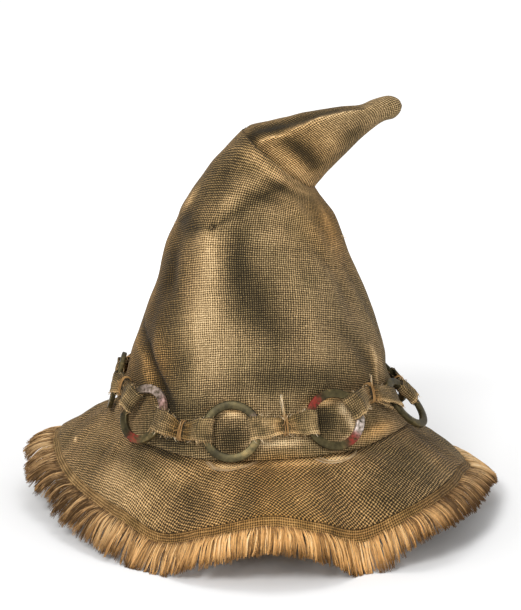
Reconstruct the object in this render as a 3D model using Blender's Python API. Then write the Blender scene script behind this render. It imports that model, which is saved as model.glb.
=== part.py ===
"""A burlap scarecrow hat: a tall cone crown that folds over at its top, a drooping brim, a frayed
fringe trim, and a band of cloth links, each tied at its waist, that joins metal rings.

The hat stands on the tips of its fringe. +Z is up, the wearer looks along -Y, and azimuths run
from the front (-Y) towards +X, in degrees. Lengths below are in millimetres."""

import math
import random

import bmesh
import bpy
from mathutils import Matrix, Vector

MM = 0.001

# Where the crown's axis stands, so that the box of the whole hat is centred on the origin.
HAT_AXIS_X = 2.1
HAT_AXIS_Y = -0.8

# Cloth and gaps.
CROWN_WALL = 1.6
BRIM_WALL = 1.8
GAP = 0.35

# Small steps over which the surfaces' directions are measured, and halvings in a search.
ROW_STEP = 0.05
TURN_STEP = 0.5
SHARE_STEP = 0.02
ROW_HALVINGS = 30
REACH_HALVINGS = 12

# Mesh steps.
CROWN_STEPS = 36
BRIM_STEPS = 80
RING_STEPS = 18

# Crown sections from the seam to the tip. centre_x, centre_y, centre_z: the section's middle.
# half_width: along its left-right line. front, back: half depths towards the wearer's face and
# nape. tilt: how far the section leans down to the right, in degrees.
CROWN_COLUMNS = ("centre_x", "centre_y", "centre_z", "half_width", "front", "back", "tilt")
CROWN_SECTIONS = (
    (-0.5, 0.0, 65.0, 104.0, 101.5, 101.5, 0.0),
    (-1.5, 0.0, 77.0, 99.8, 98.0, 97.8, 0.0),
    (-2.6, 0.0, 90.0, 94.9, 93.8, 93.4, 0.0),
    (-3.5, 0.0, 102.0, 91.0, 90.5, 90.0, 0.0),
    (-2.8, 0.0, 114.0, 89.2, 88.0, 87.5, 0.0),
    (-2.0, 0.0, 128.0, 85.0, 84.0, 83.5, 0.0),
    (-2.0, 0.0, 145.0, 78.9, 78.2, 77.2, 0.0),
    (-2.1, 0.0, 163.0, 72.2, 71.6, 70.5, 0.0),
    (-3.0, 0.0, 180.0, 66.4, 65.2, 64.0, 1.0),
    (-3.5, 0.0, 195.0, 61.5, 59.2, 57.6, 2.4),
    (-2.4, 0.0, 209.0, 55.9, 53.4, 51.4, 4.6),
    (-0.1, 0.0, 221.5, 49.2, 47.6, 45.2, 9.2),
    (2.8, -0.5, 233.3, 41.6, 42.0, 38.5, 17.0),
    (6.2, -1.0, 241.8, 36.2, 37.5, 33.5, 25.5),
    (11.0, -1.0, 250.6, 32.0, 33.5, 30.0, 38.7),
    (10.3, -1.0, 249.5, 31.2, 25.5, 28.5, 41.0),
    (15.0, -1.2, 254.4, 30.4, 26.0, 27.0, 41.7),
    (24.5, -1.6, 259.0, 26.6, 24.0, 24.0, 46.0),
    (35.2, -2.2, 264.0, 22.6, 21.0, 20.5, 48.6),
    (47.6, -3.0, 269.8, 18.4, 17.5, 17.0, 51.1),
    (60.0, -3.8, 275.7, 14.0, 13.4, 13.2, 54.6),
    (71.0, -4.6, 280.2, 10.2, 9.8, 9.8, 59.0),
    (79.6, -5.2, 284.8, 8.9, 8.6, 8.6, 63.0),
    (88.0, -5.8, 287.4, 8.2, 7.8, 7.8, 74.0),
    (93.6, -6.0, 288.2, 4.6, 4.4, 4.4, 84.0),
)
CROWN_TOP = (95.6, -6.0, 288.4)
SEAM_ROW = 0.0
BAND_TOP_ROW = 5.0
WALL_LEAN = 0.9

# Soft valleys pressed into the crown's body. azimuth and height: the middle of the valley.
# slope: how steeply it climbs towards +X. reach and half_width: its size. depth: how deep.
DENT_COLUMNS = ("azimuth", "height", "slope", "reach", "half_width", "depth")
DENTS = (
    (5.0, 219.0, 36.0, 40.0, 9.0, 3.8),
    (-72.0, 204.0, -8.0, 26.0, 8.0, 3.0),
    (8.0, 168.0, 78.0, 48.0, 17.0, 3.0),
    (-53.0, 107.0, -38.0, 27.0, 7.5, 4.0),
    (62.0, 150.0, 100.0, 40.0, 15.0, 2.4),
    (150.0, 165.0, 70.0, 50.0, 18.0, 3.4),
    (205.0, 190.0, 30.0, 34.0, 11.0, 3.2),
    (250.0, 140.0, 80.0, 40.0, 15.0, 2.8),
)
DENTS_FIRST_ROW = 2.0
DENTS_END_HEIGHT = 240.0
DENTS_FADE = 25.0

# The brim by azimuth: how far the seam lies above its level, the brim's edge, and the fringe's
# tips. Low tips stand on the floor.
BRIM_COLUMNS = ("azimuth", "seam_lift", "edge_reach", "edge_height", "tip_reach", "tip_height")
BRIM_WAVES = (
    (-175.0, 3.0, 148.0, 45.0, 172.0, 27.0),
    (-155.0, 1.0, 146.0, 33.0, 167.0, 10.0),
    (-140.0, 0.0, 145.0, 26.0, 164.0, -2.0),
    (-122.0, 3.5, 148.0, 39.0, 172.0, 20.0),
    (-106.0, 9.0, 150.5, 47.0, 177.0, 34.0),
    (-90.0, 8.5, 142.5, 41.0, 168.0, 27.0),
    (-74.0, 5.0, 136.0, 36.0, 158.0, 21.0),
    (-57.0, 2.0, 133.0, 32.0, 155.4, 15.5),
    (-42.0, 1.0, 137.0, 30.0, 157.0, 8.0),
    (-28.0, -1.0, 142.0, 23.5, 159.5, -2.0),
    (-14.0, -1.0, 145.0, 33.0, 166.0, 13.0),
    (2.0, 0.5, 149.0, 43.5, 171.0, 24.5),
    (15.0, 1.0, 149.0, 37.0, 168.0, 15.0),
    (26.0, 1.5, 145.5, 28.0, 158.5, -1.5),
    (40.0, 1.5, 150.0, 37.5, 170.0, 21.0),
    (58.0, 3.5, 146.0, 41.5, 167.0, 23.5),
    (78.0, 1.5, 141.0, 38.0, 163.0, 23.0),
    (98.0, -3.0, 147.0, 28.0, 170.5, 14.0),
    (118.0, -4.0, 147.0, 30.0, 170.0, 10.0),
    (138.0, -2.0, 145.0, 25.0, 164.0, -2.0),
    (160.0, 1.0, 147.0, 36.0, 170.0, 16.0),
)
SEAM_WAVE_ROWS = 2.5
LAP_ROW = 0.65
LAP_GAP = 0.8
BRIM_SHARES = (0.0, 0.44, 0.88, 1.0)
BRIM_DROOP = 1.6
BRIM_LEAN = 0.8

# The trim: a woven strip sewn under the brim's edge, frayed into locks.
STRIP_WALL = 1.5
STRIP_GAP = 0.5
STRIP_SHOWN = 8.5
LOCK_SAG = 2.2
LOCK_MIDDLE_WIDTH = 0.98
LOCK_MIDDLE_THICKNESS = 3.4
LOCK_END_WIDTH = 0.86
LOCK_END_THICKNESS = 2.6
LOCK_JITTER = 0.12
LOCK_LENGTHS = (0.94, 1.04)
LOCK_SEED = 11

# The rings, flat with rounded edges, and where each one's middle lies on the crown.
RING_OUTER = 20.6
RING_INNER = 14.9
RING_THICKNESS = 3.4
RING_SHOULDER = 0.6
RING_COLUMNS = ("azimuth", "height", "lean", "yaw")
RINGS = (
    (-90.0, 92.0, 16.0, 0.0),
    (-49.5, 87.0, 26.0, 5.0),
    (-10.5, 84.5, 22.0, 4.0),
    (31.0, 89.5, 22.0, -15.0),
    (73.5, 84.0, 42.0, 0.0),
    (117.0, 80.0, 30.0, 0.0),
    (157.0, 84.0, 25.0, 0.0),
    (196.0, 86.0, 25.0, 0.0),
    (234.0, 88.0, 25.0, 0.0),
)
RING_CLEARANCE = 0.5
RING_FARTHEST = 30.0

# The cloth links between neighbouring rings, and how high each one's tied waist lies.
LINK_WALL = 1.4
LINK_HALF_HEIGHT = 7.8
LINK_SLACK = 1.2
LINK_TUCK = 0.62
LINK_ROOM = 1.6
WAIST_HALF_HEIGHT = 6.0
WAIST_HALF_THICKNESS = 2.6
WAIST_CORNER = 0.8
WAIST_HEIGHTS = (96.0, 80.5, 87.0, 98.0, 84.0, 84.0, 85.0, 88.0, 93.0)
TIE_WIDTH = 3.6
TIE_WALL = 1.2
TIE_CROWN = 0.7


def catmull_rom(before, start, end, after, share):
    """The four numbers' smooth curve, share of the way from start to end."""
    square = share * share
    cube = square * share
    return 0.5 * (
        2.0 * start
        + (end - before) * share
        + (2.0 * before - 5.0 * start + 4.0 * end - after) * square
        + (3.0 * start - before - 3.0 * end + after) * cube
    )


def crown_row(row):
    """The crown's section at a row number, which may lie between two rows of the table."""
    last = len(CROWN_SECTIONS) - 1
    start = min(int(row), last - 1)
    share = row - start
    near = [CROWN_SECTIONS[min(max(start + step, 0), last)] for step in (-1, 0, 1, 2)]
    values = [catmull_rom(*column, share) for column in zip(*near)]
    return dict(zip(CROWN_COLUMNS, values))


def crown_point(row, azimuth):
    """The plain outer surface of the crown, without its dents, from the crown's own axis."""
    section = crown_row(row)
    tilt = math.radians(section["tilt"])
    turn = math.radians(azimuth)
    depth = section["front"] if math.cos(turn) > 0.0 else section["back"]
    right = Vector((math.cos(tilt), 0.0, -math.sin(tilt)))
    rear = Vector((0.0, 1.0, 0.0))
    centre = Vector((section["centre_x"], section["centre_y"], section["centre_z"]))
    side = right * (section["half_width"] * math.sin(turn))
    lift = around(azimuth, "seam_lift") * max(0.0, 1.0 - row / SEAM_WAVE_ROWS)
    return centre + side - rear * (depth * math.cos(turn)) + Vector((0.0, 0.0, lift))


def dent_depth(point):
    """How far the cloth is pressed in at a point of the crown's body."""
    azimuth = math.degrees(math.atan2(point.x, -point.y))
    reach = math.hypot(point.x, point.y)
    pressed = 0.0
    for row in DENTS:
        dent = dict(zip(DENT_COLUMNS, row))
        swing = (azimuth - dent["azimuth"] + 180.0) % 360.0 - 180.0
        along_x = math.radians(swing) * reach
        along_z = point.z - dent["height"]
        slope = math.radians(dent["slope"])
        along = along_x * math.cos(slope) + along_z * math.sin(slope)
        across = along_z * math.cos(slope) - along_x * math.sin(slope)
        fall = (along / dent["reach"]) ** 2 + (across / dent["half_width"]) ** 2
        pressed += dent["depth"] * math.exp(-fall)
    return pressed


def dented_crown_point(row, azimuth):
    """The crown's outer surface with its dents, which fade out towards the fold at the top."""
    point = crown_point(row, azimuth)
    fade = max(0.0, min(1.0, (DENTS_END_HEIGHT - point.z) / DENTS_FADE))
    fade *= min(1.0, max(0.0, row - DENTS_FIRST_ROW))
    inward = Vector((-point.x, -point.y, 0.0))
    if fade == 0.0 or inward.length < 1.0:
        return point
    return point + inward.normalized() * (dent_depth(point) * fade)


def crown_row_at(height, azimuth):
    """The row number where the crown's lower part is at a height."""
    low = SEAM_ROW
    high = BAND_TOP_ROW
    for _ in range(ROW_HALVINGS):
        middle = (low + high) / 2.0
        if crown_point(middle, azimuth).z < height:
            low = middle
        else:
            high = middle
    return (low + high) / 2.0


def crown_normal(row, azimuth):
    """The outward normal of the crown's lower part."""
    up = crown_point(row + ROW_STEP, azimuth) - crown_point(row, azimuth)
    side = crown_point(row, azimuth + TURN_STEP) - crown_point(row, azimuth - TURN_STEP)
    return side.cross(up).normalized()


def around(azimuth, column):
    """A column of the brim's table at any azimuth, on a smooth closed curve."""
    count = len(BRIM_WAVES)
    place = BRIM_COLUMNS.index(column)
    keys = [row[0] for row in BRIM_WAVES]
    azimuth = (azimuth - keys[0]) % 360.0 + keys[0]
    start = max(i for i in range(count) if keys[i] <= azimuth)
    end_key = keys[start + 1] if start + 1 < count else keys[0] + 360.0
    share = (azimuth - keys[start]) / (end_key - keys[start])
    near = [BRIM_WAVES[(start + step) % count][place] for step in (-1, 0, 1, 2)]
    return catmull_rom(*near, share)


def at_azimuth(azimuth, reach, height):
    turn = math.radians(azimuth)
    return Vector((reach * math.sin(turn), -reach * math.cos(turn), height))


def brim_point(azimuth, share):
    """The brim's top surface, from the seam (share 0) to its edge (share 1)."""
    seam = crown_point(SEAM_ROW, azimuth) - crown_normal(SEAM_ROW, azimuth) * (CROWN_WALL + LAP_GAP)
    edge = at_azimuth(azimuth, around(azimuth, "edge_reach"), around(azimuth, "edge_height"))
    point = seam.lerp(edge, share)
    point.z += BRIM_DROOP * math.sin(math.pi * share)
    return point


def brim_normal(azimuth, share):
    """The upward normal of the brim's top surface."""
    out = brim_point(azimuth, share) - brim_point(azimuth, share - SHARE_STEP)
    side = brim_point(azimuth + TURN_STEP, share) - brim_point(azimuth - TURN_STEP, share)
    return side.cross(-out).normalized()


def material(name, colour, roughness, metallic=0.0):
    made = bpy.data.materials.new(name)
    made.use_nodes = True
    shader = made.node_tree.nodes["Principled BSDF"]
    shader.inputs["Base Color"].default_value = (*colour, 1.0)
    shader.inputs["Roughness"].default_value = roughness
    shader.inputs["Metallic"].default_value = metallic
    return made


def add_object(name, bm, finish):
    """Makes an object of a bmesh whose lengths are in millimetres, from the crown's own axis."""
    shift = Vector((HAT_AXIS_X, HAT_AXIS_Y, 0.0))
    bmesh.ops.translate(bm, verts=bm.verts, vec=shift)
    bmesh.ops.scale(bm, verts=bm.verts, vec=(MM, MM, MM))
    bmesh.ops.recalc_face_normals(bm, faces=bm.faces)
    mesh = bpy.data.meshes.new(name)
    bm.to_mesh(mesh)
    bm.free()
    mesh.materials.append(finish)
    made = bpy.data.objects.new(name, mesh)
    bpy.context.scene.collection.objects.link(made)
    return made


def thicken(made, wall):
    """Gives a cloth surface its thickness, inwards or downwards from the outer face."""
    solidify = made.modifiers.new("wall", "SOLIDIFY")
    solidify.thickness = wall * MM
    solidify.offset = -1.0
    solidify.use_even_offset = True


def bridge(bm, loops):
    """Joins loops of vertices, each with as many as the next, by a skin of four-sided faces."""
    for low, high in zip(loops, loops[1:]):
        count = len(low)
        for i in range(count):
            j = (i + 1) % count
            bm.faces.new((low[i], low[j], high[j], high[i]))


def make_crown(finish):
    bm = bmesh.new()
    loops = []
    for row in range(len(CROWN_SECTIONS)):
        turns = [360.0 * i / CROWN_STEPS for i in range(CROWN_STEPS)]
        loops.append([bm.verts.new(dented_crown_point(float(row), turn)) for turn in turns])
    bridge(bm, loops)
    top = bm.verts.new(CROWN_TOP)
    last = loops[-1]
    for i in range(CROWN_STEPS):
        bm.faces.new((last[i], last[(i + 1) % CROWN_STEPS], top))
    crown = add_object("crown", bm, finish)
    thicken(crown, CROWN_WALL)


def make_brim(finish):
    bm = bmesh.new()
    turns = [360.0 * i / BRIM_STEPS for i in range(BRIM_STEPS)]
    inset = CROWN_WALL + LAP_GAP
    lap = [crown_point(LAP_ROW, t) - crown_normal(LAP_ROW, t) * inset for t in turns]
    loops = [[bm.verts.new(point) for point in lap]]
    for share in BRIM_SHARES:
        loops.append([bm.verts.new(brim_point(turn, share)) for turn in turns])
    bridge(bm, loops)
    brim = add_object("brim", bm, finish)
    thicken(brim, BRIM_WALL)


def strip_section(azimuth):
    """The trim's strip at one azimuth: four stations, each a top and a bottom point."""
    below = BRIM_WALL + STRIP_GAP
    stations = []
    for share in BRIM_SHARES[-2:]:
        normal = brim_normal(azimuth, share)
        top = brim_point(azimuth, share) - normal * below
        stations.append((top, top - normal * STRIP_WALL))
    edge = stations[-1][0]
    tip = at_azimuth(azimuth, around(azimuth, "tip_reach"), around(azimuth, "tip_height"))
    outward = (tip - edge).normalized()
    normal = brim_normal(azimuth, 1.0)
    normal = (normal - outward * normal.dot(outward)).normalized()
    top = edge + outward * STRIP_SHOWN
    stations.append((top, top - normal * STRIP_WALL))
    return stations


def lock_end(base_left, base_right, azimuth, length_share, lean):
    """Where a lock's middle and end lie, worked out from the edge of the strip."""
    base = (base_left + base_right) / 2.0
    tip = at_azimuth(azimuth + lean, around(azimuth, "tip_reach"), around(azimuth, "tip_height"))
    end = base.lerp(tip, length_share)
    end.z = max(end.z, 0.0)
    middle = base.lerp(end, 0.5)
    middle.z = max(middle.z + LOCK_SAG, LOCK_MIDDLE_THICKNESS)
    return middle, end


def spread_lock(face, centre, side, half_width, along, normal, thickness):
    """Places a lock's new end face: its four corners keep their side and their layer. A lock
    that reaches the floor is cut level with it."""
    old = face.calc_center_median()
    for vert in face.verts:
        rel = vert.co - old
        sign_side = 1.0 if rel.dot(side) > 0.0 else -1.0
        sign_layer = 0.0 if rel.dot(normal) > 0.0 else -1.0
        vert.co = centre + side * (half_width * sign_side) + along * (thickness * sign_layer)
        vert.co.z = 0.0 if centre.z == 0.0 else max(vert.co.z, 0.0)


def make_trim(finish):
    rng = random.Random(LOCK_SEED)
    bm = bmesh.new()
    turns = [360.0 * i / BRIM_STEPS for i in range(BRIM_STEPS)]
    sections = [strip_section(turn) for turn in turns]
    tops = [[bm.verts.new(s[k][0]) for s in sections] for k in range(3)]
    bottoms = [[bm.verts.new(s[k][1]) for s in sections] for k in range(3)]
    bridge(bm, tops)
    bridge(bm, bottoms[::-1])
    bridge(bm, [bottoms[0], tops[0]])
    bridge(bm, [tops[2], bottoms[2]])
    bmesh.ops.recalc_face_normals(bm, faces=bm.faces)
    bm.faces.ensure_lookup_table()
    roots = list(bm.faces)[-BRIM_STEPS:]
    for i, root in enumerate(roots):
        azimuth = 360.0 * (i + 0.5) / BRIM_STEPS
        left = tops[2][i].co.copy()
        right = tops[2][(i + 1) % BRIM_STEPS].co.copy()
        side = (right - left).normalized()
        half_width = (right - left).length / 2.0
        lean = rng.uniform(-LOCK_JITTER, LOCK_JITTER) * 360.0 / BRIM_STEPS
        length_share = rng.uniform(*LOCK_LENGTHS)
        middle, end = lock_end(left, right, azimuth, length_share, lean)
        slant = (middle - (left + right) / 2.0).normalized()
        normal = side.cross(slant).normalized()
        normal = normal if normal.z > 0.0 else -normal
        level = Vector((-side.y, side.x, 0.0)).normalized()
        level = level if level.dot(slant) > 0.0 else -level
        made = bmesh.ops.extrude_discrete_faces(bm, faces=[root])["faces"][0]
        spread_lock(made, middle, side, half_width * LOCK_MIDDLE_WIDTH, normal, normal,
                    LOCK_MIDDLE_THICKNESS)
        made = bmesh.ops.extrude_discrete_faces(bm, faces=[made])["faces"][0]
        spread_lock(made, end, side, half_width * LOCK_END_WIDTH, level, normal,
                    LOCK_END_THICKNESS)
    add_object("fringe_trim", bm, finish)


def ring_frame(place):
    """A ring's place: its middle, then the tangent, outward and upward directions."""
    ring = dict(zip(RING_COLUMNS, place))
    azimuth = ring["azimuth"]
    facing = math.radians(azimuth + ring["yaw"])
    level = Vector((math.sin(facing), -math.cos(facing), 0.0))
    lean = math.radians(ring["lean"])
    out = level * math.cos(lean) + Vector((0.0, 0.0, math.sin(lean)))
    tangent = Vector((math.cos(facing), math.sin(facing), 0.0))
    up = out.cross(tangent)
    row = crown_row_at(ring["height"], azimuth)
    centre = crown_point(row, azimuth)
    low = 0.0
    high = RING_FARTHEST
    for _ in range(REACH_HALVINGS):
        middle = (low + high) / 2.0
        if ring_clearance(centre + level * middle, tangent, up, out) < RING_CLEARANCE:
            low = middle
        else:
            high = middle
    return centre + level * high, tangent, out, up


def ring_clearance(centre, tangent, up, out):
    """The least room between the back of a ring, with its links, and the hat behind it."""
    least = RING_FARTHEST
    for i in range(RING_STEPS):
        turn = 2.0 * math.pi * i / RING_STEPS
        reach = RING_OUTER
        back = RING_THICKNESS / 2.0
        if abs(math.sin(turn)) * RING_OUTER < LINK_ROOM * LINK_HALF_HEIGHT:
            reach += GAP + LINK_SLACK
            back += GAP + LINK_WALL
        rim = centre + (tangent * math.cos(turn) + up * math.sin(turn)) * reach - out * back
        least = min(least, room_outside(rim))
    return least


def room_outside(point):
    """About how far a point lies from the crown beside it, or from the brim below it."""
    azimuth = math.degrees(math.atan2(point.x, -point.y))
    seam = crown_point(SEAM_ROW, azimuth)
    reach = math.hypot(point.x, point.y)
    seam_reach = math.hypot(seam.x, seam.y)
    if point.z > seam.z:
        wall = crown_point(crown_row_at(point.z, azimuth), azimuth)
        return (reach - math.hypot(wall.x, wall.y)) * WALL_LEAN
    share = (reach - seam_reach) / (around(azimuth, "edge_reach") - seam_reach)
    above = (point.z - brim_point(azimuth, max(0.0, share)).z) * BRIM_LEAN
    return min(above, reach - seam_reach)


def ring_mesh():
    """One ring about its own Z axis: a flat bar with rounded edges, turned through a circle."""
    bm = bmesh.new()
    half = RING_THICKNESS / 2.0
    middle = (RING_OUTER + RING_INNER) / 2.0
    bar = (RING_OUTER - RING_INNER) / 2.0
    shoulder = bar * RING_SHOULDER
    profile = (
        (middle - bar, 0.0),
        (middle - shoulder, -half),
        (middle + shoulder, -half),
        (middle + bar, 0.0),
        (middle + shoulder, half),
        (middle - shoulder, half),
    )
    verts = [bm.verts.new((x, 0.0, z)) for x, z in profile]
    count = len(verts)
    edges = [bm.edges.new((verts[i], verts[(i + 1) % count])) for i in range(count)]
    bmesh.ops.spin(bm, geom=verts + edges, axis=(0, 0, 1), cent=(0, 0, 0),
                   angle=math.tau, steps=RING_STEPS, use_merge=True)
    bmesh.ops.remove_doubles(bm, verts=bm.verts, dist=0.001)
    return bm


def make_rings(finish, frames):
    for index, (centre, tangent, out, up) in enumerate(frames):
        bm = ring_mesh()
        turn = Matrix((tangent, up, tangent.cross(up))).transposed().to_4x4()
        bmesh.ops.transform(bm, matrix=Matrix.Translation(centre) @ turn, verts=bm.verts)
        add_object(f"ring_{index + 1}", bm, finish)


def waist_frame(index, frames):
    """The tied middle of a link: its place, tangent, outward and upward directions."""
    after = (index + 1) % len(frames)
    start = RINGS[index][0]
    azimuth = start + ((RINGS[after][0] - start) % 360.0) / 2.0
    span = frames[after][0] - frames[index][0]
    row = crown_row_at(WAIST_HEIGHTS[index], azimuth)
    out = crown_normal(row, azimuth)
    room = WAIST_HALF_THICKNESS + GAP + TIE_WALL + GAP + GAP
    turn = math.radians(azimuth)
    tangent = Vector((math.cos(turn), math.sin(turn), 0.0))
    tangent = (tangent + Vector((0.0, 0.0, span.z / span.length))).normalized()
    tangent = (tangent - out * tangent.dot(out)).normalized()
    up = tangent.cross(out)
    up = up if up.z > 0.0 else -up
    return crown_point(row, azimuth) + out * room, tangent, out, up


def waist_offset(layer, level, grow, out, up):
    """A point of the waist's ten-sided outline, from the waist's middle."""
    side = layer / 1.5 - 1.0
    corner = abs(side) == 1.0 and level != 0
    wide = side * (WAIST_CORNER if corner else 1.0)
    tall = level * (WAIST_CORNER if corner else 1.0)
    return out * (wide * (WAIST_HALF_THICKNESS + grow)) + up * (tall * (WAIST_HALF_HEIGHT + grow))


def link_point(column, layer, level, start, waist, end):
    """A point of a link. column 0 to 7 runs from one ring to the next, layer 0 to 3 from the
    crown outwards, and level -1 to 1 from the bottom edge to the top edge."""
    if column in (3, 4):
        centre, tangent, out, up = waist
        along = (column - 3.5) * (TIE_WIDTH + 2.0 * GAP)
        return centre + tangent * along + waist_offset(layer, level, 0.0, out, up)
    centre, _, out, _ = start if column < 3 else end
    toward = waist[0] - centre
    toward = (toward - out * toward.dot(out)).normalized()
    rise = out.cross(toward)
    rise = rise if rise.z > 0.0 else -rise
    step = min(column, 7 - column)
    height = level * LINK_HALF_HEIGHT
    inner = math.sqrt(RING_INNER**2 - height**2) - GAP
    straight = math.sqrt(RING_INNER**2 - LINK_HALF_HEIGHT**2) - GAP
    outer = math.sqrt(RING_OUTER**2 - height**2) + GAP + LINK_SLACK
    along = ((inner + straight) / 2.0 - LINK_WALL, inner, outer)[step]
    half = RING_THICKNESS / 2.0 + GAP
    offset = (-half - LINK_WALL, -half, half, half + LINK_WALL)[layer]
    if step == 0:
        offset *= LINK_TUCK
    return centre + toward * along + out * offset + rise * height


def make_links(finish, frames):
    for index, start in enumerate(frames):
        end = frames[(index + 1) % len(frames)]
        waist = waist_frame(index, frames)
        bm = bmesh.new()
        bmesh.ops.create_grid(bm, x_segments=7, y_segments=3, size=1.0)
        for vert in bm.verts:
            vert.co = (round((vert.co.x + 1.0) * 3.5), round((vert.co.y + 1.0) * 1.5), -1.0)
        slots = []
        for face in bm.faces:
            middle = face.calc_center_median()
            if abs(middle.y - 1.5) < 0.1 and round(middle.x - 0.5) in (1, 5):
                slots.append(face)
        bmesh.ops.delete(bm, geom=slots, context="FACES")
        made = bmesh.ops.extrude_face_region(bm, geom=bm.faces[:], use_keep_orig=True)
        new = [item for item in made["geom"] if isinstance(item, bmesh.types.BMVert)]
        bmesh.ops.translate(bm, verts=new, vec=(0.0, 0.0, 2.0))
        geom = bm.verts[:] + bm.edges[:] + bm.faces[:]
        bmesh.ops.bisect_plane(bm, geom=geom, plane_co=(0, 0, 0), plane_no=(0, 0, 1))
        for vert in bm.verts:
            column, layer, level = round(vert.co.x), round(vert.co.y), round(vert.co.z)
            vert.co = link_point(column, layer, level, start, waist, end)
        add_object(f"band_link_{index + 1}", bm, finish)


def make_ties(finish, frames):
    rim = [(3, 0), (3, 1), (2, 1), (1, 1), (0, 1), (0, 0), (0, -1), (1, -1), (2, -1), (3, -1)]
    for index in range(len(frames)):
        centre, tangent, out, up = waist_frame(index, frames)
        bm = bmesh.new()
        loops = []
        outer = GAP + TIE_WALL
        for grow, along in ((GAP, -1.0), (GAP, 1.0), (outer, TIE_CROWN), (outer, -TIE_CROWN)):
            place = centre + tangent * (along * TIE_WIDTH / 2.0)
            points = [place + waist_offset(layer, level, grow, out, up) for layer, level in rim]
            loops.append([bm.verts.new(point) for point in points])
        bridge(bm, loops + loops[:1])
        add_object(f"band_tie_{index + 1}", bm, finish)


def main():
    for old in list(bpy.data.objects):
        bpy.data.objects.remove(old)
    burlap = material("burlap", (0.21, 0.14, 0.07), 0.95)
    jute = material("frayed_jute", (0.42, 0.27, 0.12), 0.95)
    metal = material("antique_metal", (0.16, 0.14, 0.09), 0.4, 0.8)
    thread = material("jute_thread", (0.33, 0.2, 0.09), 0.95)
    make_crown(burlap)
    make_brim(burlap)
    make_trim(jute)
    frames = [ring_frame(place) for place in RINGS]
    make_rings(metal, frames)
    make_links(burlap, frames)
    make_ties(thread, frames)


main()
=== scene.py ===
"""The looks of a burlap scarecrow hat: woven cloth with dents, folds and sprayed stains, a woven
edge strip frayed into a fringe, cloth links with tied waists, and old metal rings.

Lengths in the tables are millimetres from the crown's own axis. Azimuths run from the front (-Y)
towards +X, in degrees. Rows are the rows of the crown's table, which may lie between two."""

import math
import random

import bmesh
import bpy
import numpy as np
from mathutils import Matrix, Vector, noise


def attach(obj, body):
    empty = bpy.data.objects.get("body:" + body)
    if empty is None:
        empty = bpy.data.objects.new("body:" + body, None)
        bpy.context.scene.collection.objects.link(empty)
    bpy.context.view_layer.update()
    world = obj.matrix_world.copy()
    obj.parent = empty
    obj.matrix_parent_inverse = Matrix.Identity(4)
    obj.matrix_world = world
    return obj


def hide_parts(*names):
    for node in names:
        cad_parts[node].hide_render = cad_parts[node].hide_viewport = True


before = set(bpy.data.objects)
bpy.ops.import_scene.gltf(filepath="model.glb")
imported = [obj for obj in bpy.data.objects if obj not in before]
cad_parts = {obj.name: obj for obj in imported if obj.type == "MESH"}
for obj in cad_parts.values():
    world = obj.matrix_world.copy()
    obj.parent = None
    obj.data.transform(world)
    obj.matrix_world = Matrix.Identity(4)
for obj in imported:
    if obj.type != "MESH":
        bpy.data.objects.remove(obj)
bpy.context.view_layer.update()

MM = 0.001
HAT_AXIS = np.array((2.1, -0.8, 0.0))

# Cloth walls and gaps, as in the solids.
CROWN_WALL = 1.6
BRIM_WALL = 1.8
LAP_GAP = 0.8
LAP_ROW = 0.65
STRIP_GAP = 0.5
STRIP_SHOWN = 8.5
BRIM_DROOP = 1.6
SEAM_WAVE_ROWS = 2.5

CROWN_COLUMNS = ("centre_x", "centre_y", "centre_z", "half_width", "front", "back", "tilt")
CROWN_SECTIONS = (
    (-0.5, 0.0, 65.0, 104.0, 101.5, 101.5, 0.0),
    (-1.5, 0.0, 77.0, 99.8, 98.0, 97.8, 0.0),
    (-2.6, 0.0, 90.0, 94.9, 93.8, 93.4, 0.0),
    (-3.5, 0.0, 102.0, 91.0, 90.5, 90.0, 0.0),
    (-2.8, 0.0, 114.0, 89.2, 88.0, 87.5, 0.0),
    (-2.0, 0.0, 128.0, 85.0, 84.0, 83.5, 0.0),
    (-2.0, 0.0, 145.0, 78.9, 78.2, 77.2, 0.0),
    (-2.1, 0.0, 163.0, 72.2, 71.6, 70.5, 0.0),
    (-3.0, 0.0, 180.0, 66.4, 65.2, 64.0, 1.0),
    (-3.5, 0.0, 195.0, 61.5, 59.2, 57.6, 2.4),
    (-2.4, 0.0, 209.0, 55.9, 53.4, 51.4, 4.6),
    (-0.1, 0.0, 221.5, 49.2, 47.6, 45.2, 9.2),
    (2.8, -0.5, 233.3, 41.6, 42.0, 38.5, 17.0),
    (6.2, -1.0, 241.8, 36.2, 37.5, 33.5, 25.5),
    (11.0, -1.0, 250.6, 32.0, 33.5, 30.0, 38.7),
    (10.3, -1.0, 249.5, 31.2, 25.5, 28.5, 41.0),
    (15.0, -1.2, 254.4, 30.4, 26.0, 27.0, 41.7),
    (24.5, -1.6, 259.0, 26.6, 24.0, 24.0, 46.0),
    (35.2, -2.2, 264.0, 22.6, 21.0, 20.5, 48.6),
    (47.6, -3.0, 269.8, 18.4, 17.5, 17.0, 51.1),
    (60.0, -3.8, 275.7, 14.0, 13.4, 13.2, 54.6),
    (71.0, -4.6, 280.2, 10.2, 9.8, 9.8, 59.0),
    (79.6, -5.2, 284.8, 8.9, 8.6, 8.6, 63.0),
    (88.0, -5.8, 287.4, 8.2, 7.8, 7.8, 74.0),
    (93.6, -6.0, 288.2, 4.6, 4.4, 4.4, 84.0),
    (95.6, -6.0, 288.4, 0.0, 0.0, 0.0, 84.0),
)
TOP_ROW = len(CROWN_SECTIONS) - 1.0

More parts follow.
